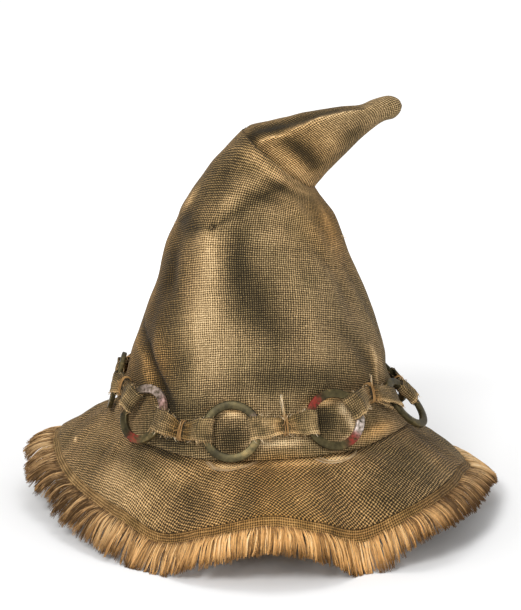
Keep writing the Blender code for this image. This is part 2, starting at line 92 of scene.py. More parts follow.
# Soft valleys pressed into the crown's body, as in the solids.
DENT_COLUMNS = ("azimuth", "height", "slope", "reach", "half_width", "depth")
DENTS = (
    (5.0, 219.0, 36.0, 40.0, 9.0, 3.8),
    (-72.0, 204.0, -8.0, 26.0, 8.0, 3.0),
    (8.0, 168.0, 78.0, 48.0, 17.0, 3.0),
    (-53.0, 107.0, -38.0, 27.0, 7.5, 4.0),
    (62.0, 150.0, 100.0, 40.0, 15.0, 2.4),
    (150.0, 165.0, 70.0, 50.0, 18.0, 3.4),
    (205.0, 190.0, 30.0, 34.0, 11.0, 3.2),
    (250.0, 140.0, 80.0, 40.0, 15.0, 2.8),
)

# Finer creases in the crown's cloth, from one place to another. depth: how far the cloth is
# pressed in, or out below zero. sharp: 0 for a soft hollow, 1 for a crease with a hard line.
# tone: painted shade along a hollow below zero, painted light along a ridge above zero.
CREASE_COLUMNS = ("azimuth_1", "row_1", "azimuth_2", "row_2", "half_width", "depth", "sharp",
                  "tone")
CREASES = (
    (-86.0, 5.5, -66.0, 5.05, 3.4, 2.2, 1.0, -1.5),
    (-66.0, 5.05, -54.0, 4.2, 3.4, 3.0, 1.0, -2.0),
    (-54.0, 4.2, -46.0, 3.2, 3.4, 3.0, 1.0, -2.2),
    (-46.0, 3.2, -38.0, 2.3, 3.2, 2.2, 1.0, -1.8),
    (-84.0, 4.9, -64.0, 4.3, 4.0, -1.6, 0.0, 0.4),
    (67.0, 2.8, 66.0, 4.8, 2.2, -1.3, 0.5, 1.1),
    (21.0, 2.4, 31.0, 2.7, 2.6, -1.4, 0.0, 0.0),
    (31.0, 2.7, 39.0, 1.9, 2.6, -1.4, 0.0, 0.0),
    (39.0, 1.9, 37.0, 0.8, 2.6, -1.4, 0.0, 0.0),
    (-64.0, 4.3, -54.0, 3.0, 4.0, -1.8, 0.0, 0.6),
    (-62.0, 5.8, -46.0, 4.5, 6.0, -1.4, 0.0, 0.1),
    (-34.0, 10.0, -16.0, 11.1, 4.0, 1.8, 1.0, -0.6),
    (-16.0, 11.1, 16.0, 13.1, 5.0, 2.0, 1.0, -0.6),
    (-30.0, 11.2, -14.0, 12.4, 4.5, -1.5, 0.0, 0.5),
    (-34.0, 11.8, 8.0, 13.6, 4.0, -1.3, 0.0, 0.1),
    (-60.0, 9.6, -34.0, 10.0, 3.5, 1.4, 1.0, -0.5),
    (-42.0, 9.9, -32.0, 9.0, 6.0, -1.4, 0.0, 0.2),
    (-32.0, 9.0, -26.0, 6.6, 7.0, -1.7, 0.0, 0.2),
    (-16.0, 9.8, -9.0, 8.2, 5.5, 1.6, 0.0, -0.2),
    (-9.0, 8.2, 8.0, 6.0, 7.0, 1.5, 0.0, -0.2),
    (-62.0, 8.6, -58.0, 7.2, 6.0, 2.2, 0.0, -0.3),
    (-78.0, 9.7, -60.0, 10.2, 4.0, 1.5, 1.0, -0.6),
    (30.0, 11.8, 52.0, 8.8, 5.0, -1.5, 0.0, 0.1),
    (40.0, 9.6, 60.0, 6.6, 6.0, 1.3, 0.0, -0.1),
    (22.0, 7.6, 30.0, 4.6, 8.0, -1.3, 0.0, 0.1),
    (46.0, 5.8, 62.0, 3.9, 6.0, 1.5, 0.0, -0.3),
    (64.0, 4.6, 76.0, 3.2, 4.5, -1.2, 0.0, 0.5),
    (70.0, 8.0, 84.0, 5.0, 6.0, 1.8, 0.0, -0.2),
    (-4.0, 5.2, 12.0, 3.4, 8.0, 1.0, 0.0, 0.0),
    (110.0, 9.5, 128.0, 5.5, 8.0, 2.0, 0.0, -0.3),
    (140.0, 11.0, 175.0, 8.0, 6.0, 2.0, 1.0, -0.4),
    (165.0, 7.0, 190.0, 4.4, 8.0, -1.6, 0.0, 0.2),
    (212.0, 8.4, 236.0, 5.6, 6.0, 2.0, 1.0, -0.4),
    (240.0, 10.5, 262.0, 8.2, 6.0, 1.8, 0.0, -0.2),
    (-39.0, 15.8, -36.0, 17.3, 1.8, -1.4, 1.0, 1.5),
    (-40.0, 17.6, -46.0, 19.0, 3.0, -2.6, 1.0, 0.9),
    (-46.0, 19.0, -42.0, 21.4, 3.0, -2.0, 1.0, 0.8),
    (-66.0, 16.4, -72.0, 20.4, 6.5, 2.2, 0.0, -0.8),
    (-14.0, 16.4, -10.0, 19.6, 8.0, 1.8, 0.0, 0.0),
    (-22.0, 17.2, 34.0, 17.2, 5.0, 1.2, 0.0, -1.3),
    (-5.0, 0.9, 18.0, 0.95, 3.0, -1.4, 0.3, 0.5),
    (14.0, 17.6, 20.0, 20.4, 4.0, 0.8, 0.0, 0.0),
    (-75.0, 20.6, -40.0, 21.2, 2.2, 1.3, 1.0, -0.4),
    (-70.0, 13.3, 20.0, 13.4, 2.6, -0.9, 0.0, 0.2),
    (100.0, 16.5, 120.0, 20.5, 3.2, 1.2, 1.0, -0.4),
    (160.0, 15.8, 200.0, 18.0, 4.0, 1.4, 0.0, -0.3),
)

# Stains and worn places of the crown, and painted shade where it lies in shadow, as on the hem
# below the band and beside the fold at the tip. tone: below zero darker, above zero paler.
PATCH_COLUMNS = ("azimuth", "row", "width", "length", "tone")
CROWN_STAINS_AND_SHADE = (
    (-27.0, 5.8, 14.0, 34.0, 0.6),
    (-31.0, 8.6, 7.0, 26.0, 0.5),
    (-66.0, 6.8, 15.0, 60.0, -1.05),
    (-50.0, 6.0, 9.0, 50.0, -0.4),
    (-70.0, 11.5, 16.0, 30.0, -0.15),
    (-10.5, 1.2, 10.0, 9.0, -1.2),
    (-11.0, 2.35, 9.0, 2.2, 1.5),
    (27.5, 1.8, 7.5, 8.0, -1.4),
    (21.0, 2.5, 4.0, 3.0, 1.0),
    (29.0, 2.75, 8.0, 2.4, 2.0),
    (37.5, 2.2, 3.5, 5.0, 1.8),
    (39.5, 1.4, 3.0, 6.0, 1.8),
    (36.0, 0.7, 5.0, 3.0, 0.8),
    (6.0, 0.85, 15.0, 2.4, 1.1),
    (61.0, 3.1, 4.0, 3.0, -1.6),
    (-26.0, 2.4, 14.0, 10.0, -0.5),
    (-40.0, 2.0, 14.0, 12.0, -0.7),
    (-52.0, 3.6, 16.0, 12.0, -0.35),
    (-12.0, 8.6, 9.0, 24.0, -0.85),
    (-3.0, 7.3, 12.0, 20.0, -0.6),
    (8.0, 5.9, 16.0, 20.0, -0.4),
    (-58.0, 9.9, 15.0, 7.0, -0.65),
    (-44.0, 11.8, 12.0, 14.0, -0.4),
    (-37.0, 4.5, 12.0, 13.0, -0.8),
    # Painted shadow on the hem below the band, between two rings.
    (-36.0, 0.6, 16.0, 6.0, -0.9),
    (52.0, 0.6, 22.0, 4.0, 0.9),
    (44.0, 2.4, 10.0, 5.0, 0.5),
    (-8.0, 19.2, 12.0, 12.0, 0.4),
    (-75.0, 10.7, 6.0, 7.0, 1.2),
    (-34.0, 10.0, 1.6, 1.2, -3.0),
    (-66.0, 7.8, 8.0, 16.0, -0.6),
    (46.0, 7.0, 20.0, 30.0, -0.1),
    (56.0, 5.4, 14.0, 16.0, -0.15),
    (60.0, 4.0, 12.0, 12.0, -0.15),
    (16.0, 4.2, 44.0, 10.0, -0.65),
    (-4.0, 11.8, 18.0, 4.5, -0.5),
    (12.0, 12.9, 10.0, 3.5, -0.7),
    (-24.0, 12.6, 22.0, 5.0, -0.05),
    (10.0, 12.4, 34.0, 8.0, -0.2),
    (-30.0, 13.5, 30.0, 2.2, 0.25),
    (4.0, 13.4, 10.0, 2.0, 0.35),
    (-62.0, 12.8, 14.0, 12.0, -0.3),
    (-52.0, 14.8, 14.0, 1.8, -1.1),
    (-16.0, 14.9, 16.0, 2.0, -0.8),
    (24.0, 15.0, 14.0, 2.0, -0.5),
    (36.0, 16.0, 16.0, 8.0, 0.4),
    (0.0, 16.0, 14.0, 6.0, 0.4),
    (40.0, 13.2, 12.0, 3.0, 0.3),
    (62.0, 11.0, 5.0, 22.0, 0.5),
    (52.0, 11.0, 7.0, 14.0, -0.3),
    # Painted shade in the hollow beside the fold, at the top left of the tip.
    (-56.0, 16.9, 4.5, 8.0, -2.3),
    (-54.0, 15.6, 5.0, 5.0, -1.6),
    (-66.0, 18.0, 8.0, 40.0, -0.3),
    (12.0, 18.7, 9.0, 6.0, 0.4),
    (22.0, 19.9, 6.0, 10.0, -0.5),
    (-44.0, 19.4, 4.0, 14.0, 0.3),
    (-30.0, 22.6, 30.0, 18.0, 0.15),
    (-58.0, 19.4, 10.0, 24.0, 0.1),
    (120.0, 7.0, 40.0, 40.0, -0.4),
    (150.0, 12.0, 24.0, 16.0, -0.6),
    (170.0, 5.0, 40.0, 26.0, 0.35),
    (205.0, 9.0, 30.0, 30.0, -0.5),
    (250.0, 6.0, 26.0, 36.0, -0.35),
    (160.0, 18.0, 16.0, 14.0, -0.7),
)

# Where the crown's cloth is more golden-brown.
CROWN_WARMTH = (
    (-75.0, 6.0, 34.0, 90.0, 0.8),
    (-50.0, 4.0, 18.0, 18.0, 0.7),
    (70.0, 10.5, 20.0, 45.0, 0.55),
    (60.0, 3.5, 24.0, 20.0, 0.3),
    (0.0, 17.0, 40.0, 34.0, 0.5),
    (56.0, 10.5, 30.0, 26.0, 0.4),
    (52.0, 0.6, 24.0, 6.0, 0.8),
    (29.0, 2.9, 12.0, 4.0, 0.8),
    (-10.5, 2.7, 10.0, 4.0, 0.7),
    (6.0, 0.0, 24.0, 5.0, 0.8),
    (180.0, 10.0, 60.0, 80.0, 0.3),
)

# The brim by azimuth, as in the solids.
BRIM_COLUMNS = ("azimuth", "seam_lift", "edge_reach", "edge_height", "tip_reach", "tip_height")
BRIM_WAVES = (
    (-175.0, 3.0, 148.0, 45.0, 172.0, 27.0),
    (-155.0, 1.0, 146.0, 33.0, 167.0, 10.0),
    (-140.0, 0.0, 145.0, 26.0, 164.0, -2.0),
    (-122.0, 3.5, 148.0, 39.0, 172.0, 20.0),
    (-106.0, 9.0, 150.5, 47.0, 177.0, 34.0),
    (-90.0, 8.5, 142.5, 41.0, 168.0, 27.0),
    (-74.0, 5.0, 136.0, 36.0, 158.0, 21.0),
    (-57.0, 2.0, 133.0, 32.0, 155.4, 15.5),
    (-42.0, 1.0, 137.0, 30.0, 157.0, 8.0),
    (-28.0, -1.0, 142.0, 23.5, 159.5, -2.0),
    (-14.0, -1.0, 145.0, 33.0, 166.0, 13.0),
    (2.0, 0.5, 149.0, 43.5, 171.0, 24.5),
    (15.0, 1.0, 149.0, 37.0, 168.0, 15.0),
    (26.0, 1.5, 145.5, 28.0, 158.5, -1.5),
    (40.0, 1.5, 150.0, 37.5, 170.0, 21.0),
    (58.0, 3.5, 146.0, 41.5, 167.0, 23.5),
    (78.0, 1.5, 141.0, 38.0, 163.0, 23.0),
    (98.0, -3.0, 147.0, 28.0, 170.5, 14.0),
    (118.0, -4.0, 147.0, 30.0, 170.0, 10.0),
    (138.0, -2.0, 145.0, 25.0, 164.0, -2.0),
    (160.0, 1.0, 147.0, 36.0, 170.0, 16.0),
)

# Stains of the brim, and a painted shadow along the seam below a ring and its link. share: 0 at
# the seam, 1 at the edge.
BRIM_PATCH_COLUMNS = ("azimuth", "share", "width", "length", "tone")
BRIM_STAINS_AND_SHADOW = (
    (-40.0, 0.86, 36.0, 14.0, 0.3),
    (-55.0, 0.7, 24.0, 14.0, 0.35),
    (-66.0, 0.6, 20.0, 24.0, -0.3),
    (-48.0, 0.3, 26.0, 12.0, -0.3),
    (-30.0, 0.25, 18.0, 12.0, 0.35),
    # Painted shadow along the seam, below a ring and its link.
    (-38.0, 0.05, 18.0, 3.5, -1.6),
    (-22.0, 0.65, 10.0, 20.0, -0.35),
    (-12.0, 0.6, 9.0, 22.0, 0.25),
    (-3.0, 0.6, 9.0, 20.0, -0.35),
    (-11.0, 0.105, 13.0, 2.6, 2.6),
    (14.0, 0.1, 20.0, 3.5, 0.9),
    (29.0, 0.095, 10.0, 2.6, 2.4),
    (2.0, 0.55, 60.0, 30.0, -0.15),
    (-88.0, 0.75, 3.0, 1.2, 2.5),
    (10.0, 0.55, 10.0, 22.0, 0.2),
    (22.0, 0.55, 12.0, 20.0, -0.4),
    (37.0, 0.85, 14.0, 14.0, -0.3),
    (50.0, 0.45, 24.0, 30.0, -0.6),
    (76.0, 0.5, 26.0, 34.0, -0.55),
    (100.0, 0.5, 34.0, 30.0, -0.4),
    (-95.0, 0.6, 30.0, 22.0, -0.3),
    (180.0, 0.5, 60.0, 30.0, -0.2),
)

# Unrolled cloth: the crown is a cone whose flat cut is a fan, and so is the brim.
CONE_SLANTS = (0.0, 12.0, 30.0, 60.0, 120.0)
CONE_TURNS = (1.0, 0.8, 0.5, 0.37, 0.335)
BRIM_TURN = 0.8
BRIM_CUT_REACH = 130.0
BRIM_CUT_WIDTH = 55.0
BRIM_GRAIN = 38.0

# Millimetres from thread to thread of each cloth's weave.
CROWN_PITCH = 1.5
BRIM_PITCH = 1.92
STRIP_PITCH = 1.55
BAND_PITCH = 1.5

# Soft bulges of the brim under the band: azimuth, height and half width in degrees.
BRIM_BULGES = (
    (-10.0, 2.4, 9.0),
    (33.0, 2.4, 8.0),
    (12.0, 1.5, 10.0),
)


def catmull_rom(before, start, end, after, share):
    """The smooth curve through four values, share of the way from start to end."""
    square = share * share
    cube = square * share
    return 0.5 * (
        2.0 * start
        + (end - before) * share
        + (2.0 * before - 5.0 * start + 4.0 * end - after) * square
        + (3.0 * start - before - 3.0 * end + after) * cube
    )


def crown_sections(rows):
    """The crown's sections at row numbers, by column name."""
    table = np.array(CROWN_SECTIONS)
    last = len(table) - 1
    start = np.clip(rows.astype(int), 0, last - 1)
    near = [table[np.clip(start + step, 0, last)].T for step in (-1, 0, 1, 2)]
    return dict(zip(CROWN_COLUMNS, catmull_rom(*near, rows - start)))


def around(azimuths, column):
    """A column of the brim's table at any azimuths, on a smooth closed curve."""
    table = np.array(BRIM_WAVES)
    keys = table[:, 0]
    values = table[:, BRIM_COLUMNS.index(column)]
    ends = np.append(keys[1:], keys[0] + 360.0)
    turned = (azimuths - keys[0]) % 360.0 + keys[0]
    start = np.searchsorted(keys, turned, side="right") - 1
    share = (turned - keys[start]) / (ends[start] - keys[start])
    near = [values[(start + step) % len(keys)] for step in (-1, 0, 1, 2)]
    return catmull_rom(*near, share)


def unit(vectors):
    """Vectors made one unit long."""
    return vectors / np.maximum(np.linalg.norm(vectors, axis=-1, keepdims=True), 1e-9)


def crown_points(azimuths, rows):
    """The plain outer surface of the crown."""
    section = crown_sections(rows)
    tilt = np.radians(section["tilt"])
    turn = np.radians(azimuths)
    depth = np.where(np.cos(turn) > 0.0, section["front"], section["back"])
    side = section["half_width"] * np.sin(turn)
    lift = around(azimuths, "seam_lift") * np.clip(1.0 - rows / SEAM_WAVE_ROWS, 0.0, None)
    return np.stack((
        section["centre_x"] + np.cos(tilt) * side,
        section["centre_y"] - depth * np.cos(turn),
        section["centre_z"] - np.sin(tilt) * side + lift,
    ), axis=-1)


def surface_normals(surface, across, along, step_across, step_along):
    """The normals of a surface, from its steps across and along."""
    side = surface(across + step_across, along) - surface(across - step_across, along)
    climb = surface(across, along + step_along) - surface(across, along - step_along)
    return unit(np.cross(side, climb))


def at_azimuth(azimuths, reach, height):
    """Points at some azimuths, at a reach from the crown's axis and a height."""
    turn = np.radians(azimuths)
    return np.stack((reach * np.sin(turn), -reach * np.cos(turn), height + 0.0 * turn), axis=-1)


def brim_points(azimuths, shares):
    """The brim's top surface. Shares below 0 are its lap inside the crown."""
    rows = np.where(shares < 0.0, LAP_ROW * -shares, 0.0)
    wall = crown_points(azimuths, rows)
    wall -= surface_normals(crown_points, azimuths, rows, 0.5, 0.03) * (CROWN_WALL + LAP_GAP)
    edge = at_azimuth(azimuths, around(azimuths, "edge_reach"), around(azimuths, "edge_height"))
    out = np.clip(shares, 0.0, None)[:, None]
    points = wall + (edge - wall) * out
    points[:, 2] += BRIM_DROOP * np.sin(math.pi * out[:, 0])
    return points


def brim_normals(azimuths, shares):
    """The upward normals of the brim's top surface."""
    return -surface_normals(brim_points, azimuths, shares, 0.5, 0.02)


def crown_slants():
    """Row numbers from the seam to the tip, and the cloth's mean length from each to the tip."""
    rows = np.arange(0.0, TOP_ROW + 0.01, 0.05)
    lengths = np.zeros(len(rows))
    directions = (0.0, 60.0, 120.0, 180.0, 240.0, 300.0)
    for azimuth in directions:
        points = crown_points(np.full(len(rows), azimuth), rows)
        steps = np.linalg.norm(np.diff(points, axis=0), axis=1)
        lengths += np.append(np.cumsum(steps[::-1])[::-1], 0.0) / len(directions)
    return rows, lengths


SLANT_ROWS, SLANT_LENGTHS = crown_slants()


def crown_cut(azimuths, rows):
    """Where the crown's cloth lies in its flat cut, a fan about the tip."""
    slant = np.interp(rows, SLANT_ROWS, SLANT_LENGTHS)
    turn = np.radians(azimuths) * np.interp(slant, CONE_SLANTS, CONE_TURNS)
    return np.stack((slant * np.sin(turn), -slant * np.cos(turn)), axis=-1)


def brim_cut(azimuths, shares):
    """Where the brim's cloth lies in its flat cut, a fan with a wide hole."""
    reach = BRIM_CUT_REACH + BRIM_CUT_WIDTH * shares
    turn = np.radians(azimuths) * BRIM_TURN
    return np.stack((reach * np.sin(turn), -reach * np.cos(turn)), axis=-1)


def swing(azimuths, middle):
    """Azimuths measured from a middle one, from -180 to 180."""
    return (azimuths - middle + 180.0) % 360.0 - 180.0


def named_rows(columns, table):
    """A table's rows, each with its values by column name."""
    return [dict(zip(columns, row)) for row in table]


def smooth_noise(points, size, seed, octaves=2):
    """Soft noise from about -1 to 1 at points, in patches of about size millimetres."""
    shift = Vector((seed * 17.3, seed * 5.1, seed * 9.7))
    values = []
    for point in points:
        values.append(noise.fractal(Vector(point) / size + shift, 1.0, 2.0, octaves))
    return np.array(values)


def dent_depths(points):
    """How far the soft valleys press the crown in at some points."""
    azimuths = np.degrees(np.arctan2(points[:, 0], -points[:, 1]))
    reach = np.hypot(points[:, 0], points[:, 1])
    pressed = np.zeros(len(points))
    for dent in named_rows(DENT_COLUMNS, DENTS):
        along_x = np.radians(swing(azimuths, dent["azimuth"])) * reach
        along_z = points[:, 2] - dent["height"]
        slope = math.radians(dent["slope"])
        along = along_x * math.cos(slope) + along_z * math.sin(slope)
        across = along_z * math.cos(slope) - along_x * math.sin(slope)
        fall = (along / dent["reach"]) ** 2 + (across / dent["half_width"]) ** 2
        pressed += dent["depth"] * np.exp(-fall)
    return pressed


def crease_marks(azimuths, rows):
    """How far the finer creases press the crown's cloth in, and how much painted shade and light
    they add to its tone, by the distance in its flat cut."""
    pressed = np.zeros(len(rows))
    tones = np.zeros(len(rows))
    for crease in named_rows(CREASE_COLUMNS, CREASES):
        middle = (crease["azimuth_1"] + crease["azimuth_2"]) / 2.0
        near = crown_cut(swing(azimuths, middle), rows)
        ends = []
        for end in ("1", "2"):
            turn = np.array([crease["azimuth_" + end] - middle])
            ends.append(crown_cut(turn, np.array([crease["row_" + end]]))[0])
        run = ends[1] - ends[0]
        share = np.clip((near - ends[0]) @ run / (run @ run), 0.0, 1.0)
        away = np.linalg.norm(near - ends[0] - share[:, None] * run, axis=1)
        away = away / crease["half_width"]
        soft = np.exp(-away**2)
        hard = np.exp(-1.7 * away)
        taper = 0.35 + 0.65 * np.sin(math.pi * (0.15 + 0.7 * share))
        shape = taper * (soft + (hard - soft) * crease["sharp"])
        pressed += crease["depth"] * shape
        tones += crease["tone"] * shape
    return pressed, tones


def spot_tones(cut, azimuths, alongs, columns, table):
    """The paler and darker places of a cloth, stains and painted shade alike, by the distance from
    each patch in its flat cut.
    """
    tones = np.zeros(len(alongs))
    for patch in named_rows(columns, table):
        turned = swing(azimuths, patch["azimuth"])
        away = cut(turned, alongs) - cut(np.zeros(1), np.array([patch[columns[1]]]))
        fall = (away[:, 0] / patch["width"]) ** 2 + (away[:, 1] / patch["length"]) ** 2
        tones += patch["tone"] * np.exp(-fall)
    return tones


def new_object(name, mesh, finish, node=None):
    """Puts a mesh into the scene as a piece of the hat's one body, in place of a plain node."""
    mesh.name = name
    mesh.materials.append(finish)
    mesh.shade_smooth()
    piece = bpy.data.objects.new(name, mesh)
    bpy.context.scene.collection.objects.link(piece)
    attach(piece, "root")
    if node:
        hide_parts(node)
    return piece


def to_scene(points):
    """Millimetres from the crown's axis to metres in the frame."""
    return (points + HAT_AXIS) * MM


def cloth_mesh(name, columns, rows, shape):
    """A cloth surface made from a grid. shape gives the points, places in the flat cut and named
    marks from each vertex's two shares, across and along. The first and last columns are joined."""
    bm = bmesh.new()
    bmesh.ops.create_grid(bm, x_segments=columns, y_segments=rows, size=0.5)
    bm.verts.index_update()
    shares = np.array([(vert.co.x + 0.5, vert.co.y + 0.5) for vert in bm.verts])
    points, cuts, marks = shape(shares[:, 0], shares[:, 1])
    points = to_scene(points)
    cuts = cuts * MM
    uv_layer = bm.loops.layers.uv.new("cloth")
    for face in bm.faces:
        for loop in face.loops:
            loop[uv_layer].uv = cuts[loop.vert.index]
    for key, values in marks.items():
        layer = bm.verts.layers.float.new(key)
        for vert, value in zip(bm.verts, values):
            vert[layer] = value
    for vert, point in zip(bm.verts, points):
        vert.co = point
    bmesh.ops.remove_doubles(bm, verts=bm.verts, dist=0.00002)
    bmesh.ops.recalc_face_normals(bm, faces=bm.faces)
    mesh = bpy.data.meshes.new(name)
    bm.to_mesh(mesh)
    bm.free()
    return mesh


def thicken(piece, wall, offset=-1.0):
    """Gives cloth its wall: below its outer side, or to both sides of it with offset 0."""
    solidify = piece.modifiers.new("wall", "SOLIDIFY")
    solidify.thickness = wall * MM
    solidify.offset = offset


def straight_tubes(count, levels, sides):
    """Some copies in one mesh of a straight tube with closed ends. Each level is one unit up."""
    bm = bmesh.new()
    bmesh.ops.create_circle(bm, cap_ends=True, segments=sides, radius=1.0)
    rim = bm.edges[:]
    for _ in range(1, levels):
        made = bmesh.ops.extrude_edge_only(bm, edges=rim)["geom"]
        rim = [item for item in made if isinstance(item, bmesh.types.BMEdge)]
        moved = [item for item in made if isinstance(item, bmesh.types.BMVert)]
        bmesh.ops.translate(bm, verts=moved, vec=(0.0, 0.0, 1.0))
    bmesh.ops.edgeloop_fill(bm, edges=rim)
    bmesh.ops.recalc_face_normals(bm, faces=bm.faces)
    pattern = bpy.data.meshes.new("one_tube")
    bm.to_mesh(pattern)
    bm.free()
    holder = bpy.data.objects.new("one_tube", pattern)
    bpy.context.scene.collection.objects.link(holder)
    array = holder.modifiers.new("copies", "ARRAY")
    array.count = count
    array.use_relative_offset = False
    mesh = bpy.data.meshes.new_from_object(
        holder.evaluated_get(bpy.context.evaluated_depsgraph_get()))
    bpy.data.objects.remove(holder)
    bpy.data.meshes.remove(pattern)
    return mesh


def path_frames(paths):
    """Two directions across each path at each of its points, carried along it without a twist."""
    along = unit(np.gradient(paths, axis=1))
    side = np.zeros_like(along)
    least = np.abs(along[:, 0]).argmin(axis=1)
    side[:, 0] = unit(np.cross(along[:, 0], np.eye(3)[least]))
    for step in range(1, paths.shape[1]):
        carried = side[:, step - 1]
        over = np.sum(carried * along[:, step], axis=-1, keepdims=True)
        side[:, step] = unit(carried - along[:, step] * over)
    return side, np.cross(along, side)


def tube_bundle(paths, radii, sides, marks):
    """Joined tubes, one for each path. paths holds the points of each tube in millimetres, radii
    the radius at each, and marks named values at each."""
    count, levels, _ = paths.shape
    mesh = straight_tubes(count, levels, sides)
    places = np.zeros(len(mesh.vertices) * 3, dtype=np.float32)
    mesh.vertices.foreach_get("co", places)
    places = places.reshape(count, -1, 3)
    level = np.rint(places[0, :, 2]).astype(int)
    side, normal = path_frames(paths)
    ring = side[:, level] * places[0, :, 0][None, :, None]
    ring = ring + normal[:, level] * places[0, :, 1][None, :, None]
    final = to_scene(paths[:, level] + ring * radii[:, level, None])
    mesh.vertices.foreach_set("co", final.astype(np.float32).ravel())
    for key, values in marks.items():
        layer = mesh.attributes.new(key, "FLOAT", "POINT")
        layer.data.foreach_set("value", values[:, level].astype(np.float32).ravel())
    return mesh


def add_node(tree, kind, links=None, **settings):
    """A shader node with its settings. links gives each named socket a value or another socket."""
    made = tree.nodes.new(kind)
    for key, value in settings.items():
        setattr(made, key, value)
    for key, value in (links or {}).items():
        socket = made.inputs[key]
        if isinstance(value, bpy.types.NodeSocket):
            tree.links.new(value, socket)
        else:
            socket.default_value = value
    return made


def maths(tree, operation, first, second=0.0, third=0.0, clamp=False):
    """The result of a Math node. MULTIPLY_ADD is first times second, plus third."""
    links = {0: first, 1: second, 2: third}
    return add_node(tree, "ShaderNodeMath", links, operation=operation, use_clamp=clamp).outputs[0]


def noise_value(tree, place, scale, detail=2.0, rough=0.5, stretch=None):
    """Smooth noise from 0 to 1 at a place, which may be stretched along its axes."""
    if stretch:
        place = add_node(tree, "ShaderNodeMapping", {"Vector": place, "Scale": stretch}).outputs[0]
    links = {"Vector": place, "Scale": scale, "Detail": detail, "Roughness": rough}
    return add_node(tree, "ShaderNodeTexNoise", links).outputs["Fac"]


def ramp(tree, value, stops):
    """Colours by value: stops holds (place, colour)."""
    made = add_node(tree, "ShaderNodeValToRGB", {"Fac": value})
    elements = made.color_ramp.elements
    while len(elements) < len(stops):
        elements.new(0.5)
    for element, (place, colour) in zip(elements, stops):
        element.position = place
        element.color = (*colour, 1.0)
    return made.outputs["Color"]


def mix_colour(tree, share, first, second, blend="MIX"):
    """The first colour, blended with the second as far as share says."""
    made = add_node(tree, "ShaderNodeMix", data_type="RGBA", blend_type=blend, clamp_factor=True)
    for place, value in ((0, share), (6, first), (7, second)):
        socket = made.inputs[place]
        if isinstance(value, bpy.types.NodeSocket):
            tree.links.new(value, socket)
        elif place:
            socket.default_value = (*value, 1.0)
        else:
            socket.default_value = value
    return made.outputs[2]


def new_group(name, inputs, outputs):
    """A shader node group whose named sockets are numbers. An input with no value is a vector."""
    tree = bpy.data.node_groups.new(name, "ShaderNodeTree")
    for key, value in inputs:
        kind = "NodeSocketVector" if value is None else "NodeSocketFloat"
        socket = tree.interface.new_socket(key, in_out="INPUT", socket_type=kind)
        if value is not None:
            socket.default_value = value
    for key in outputs:
        tree.interface.new_socket(key, in_out="OUTPUT", socket_type="NodeSocketFloat")
    start = tree.nodes.new("NodeGroupInput")
    end = tree.nodes.new("NodeGroupOutput")
    return tree, start.outputs, end


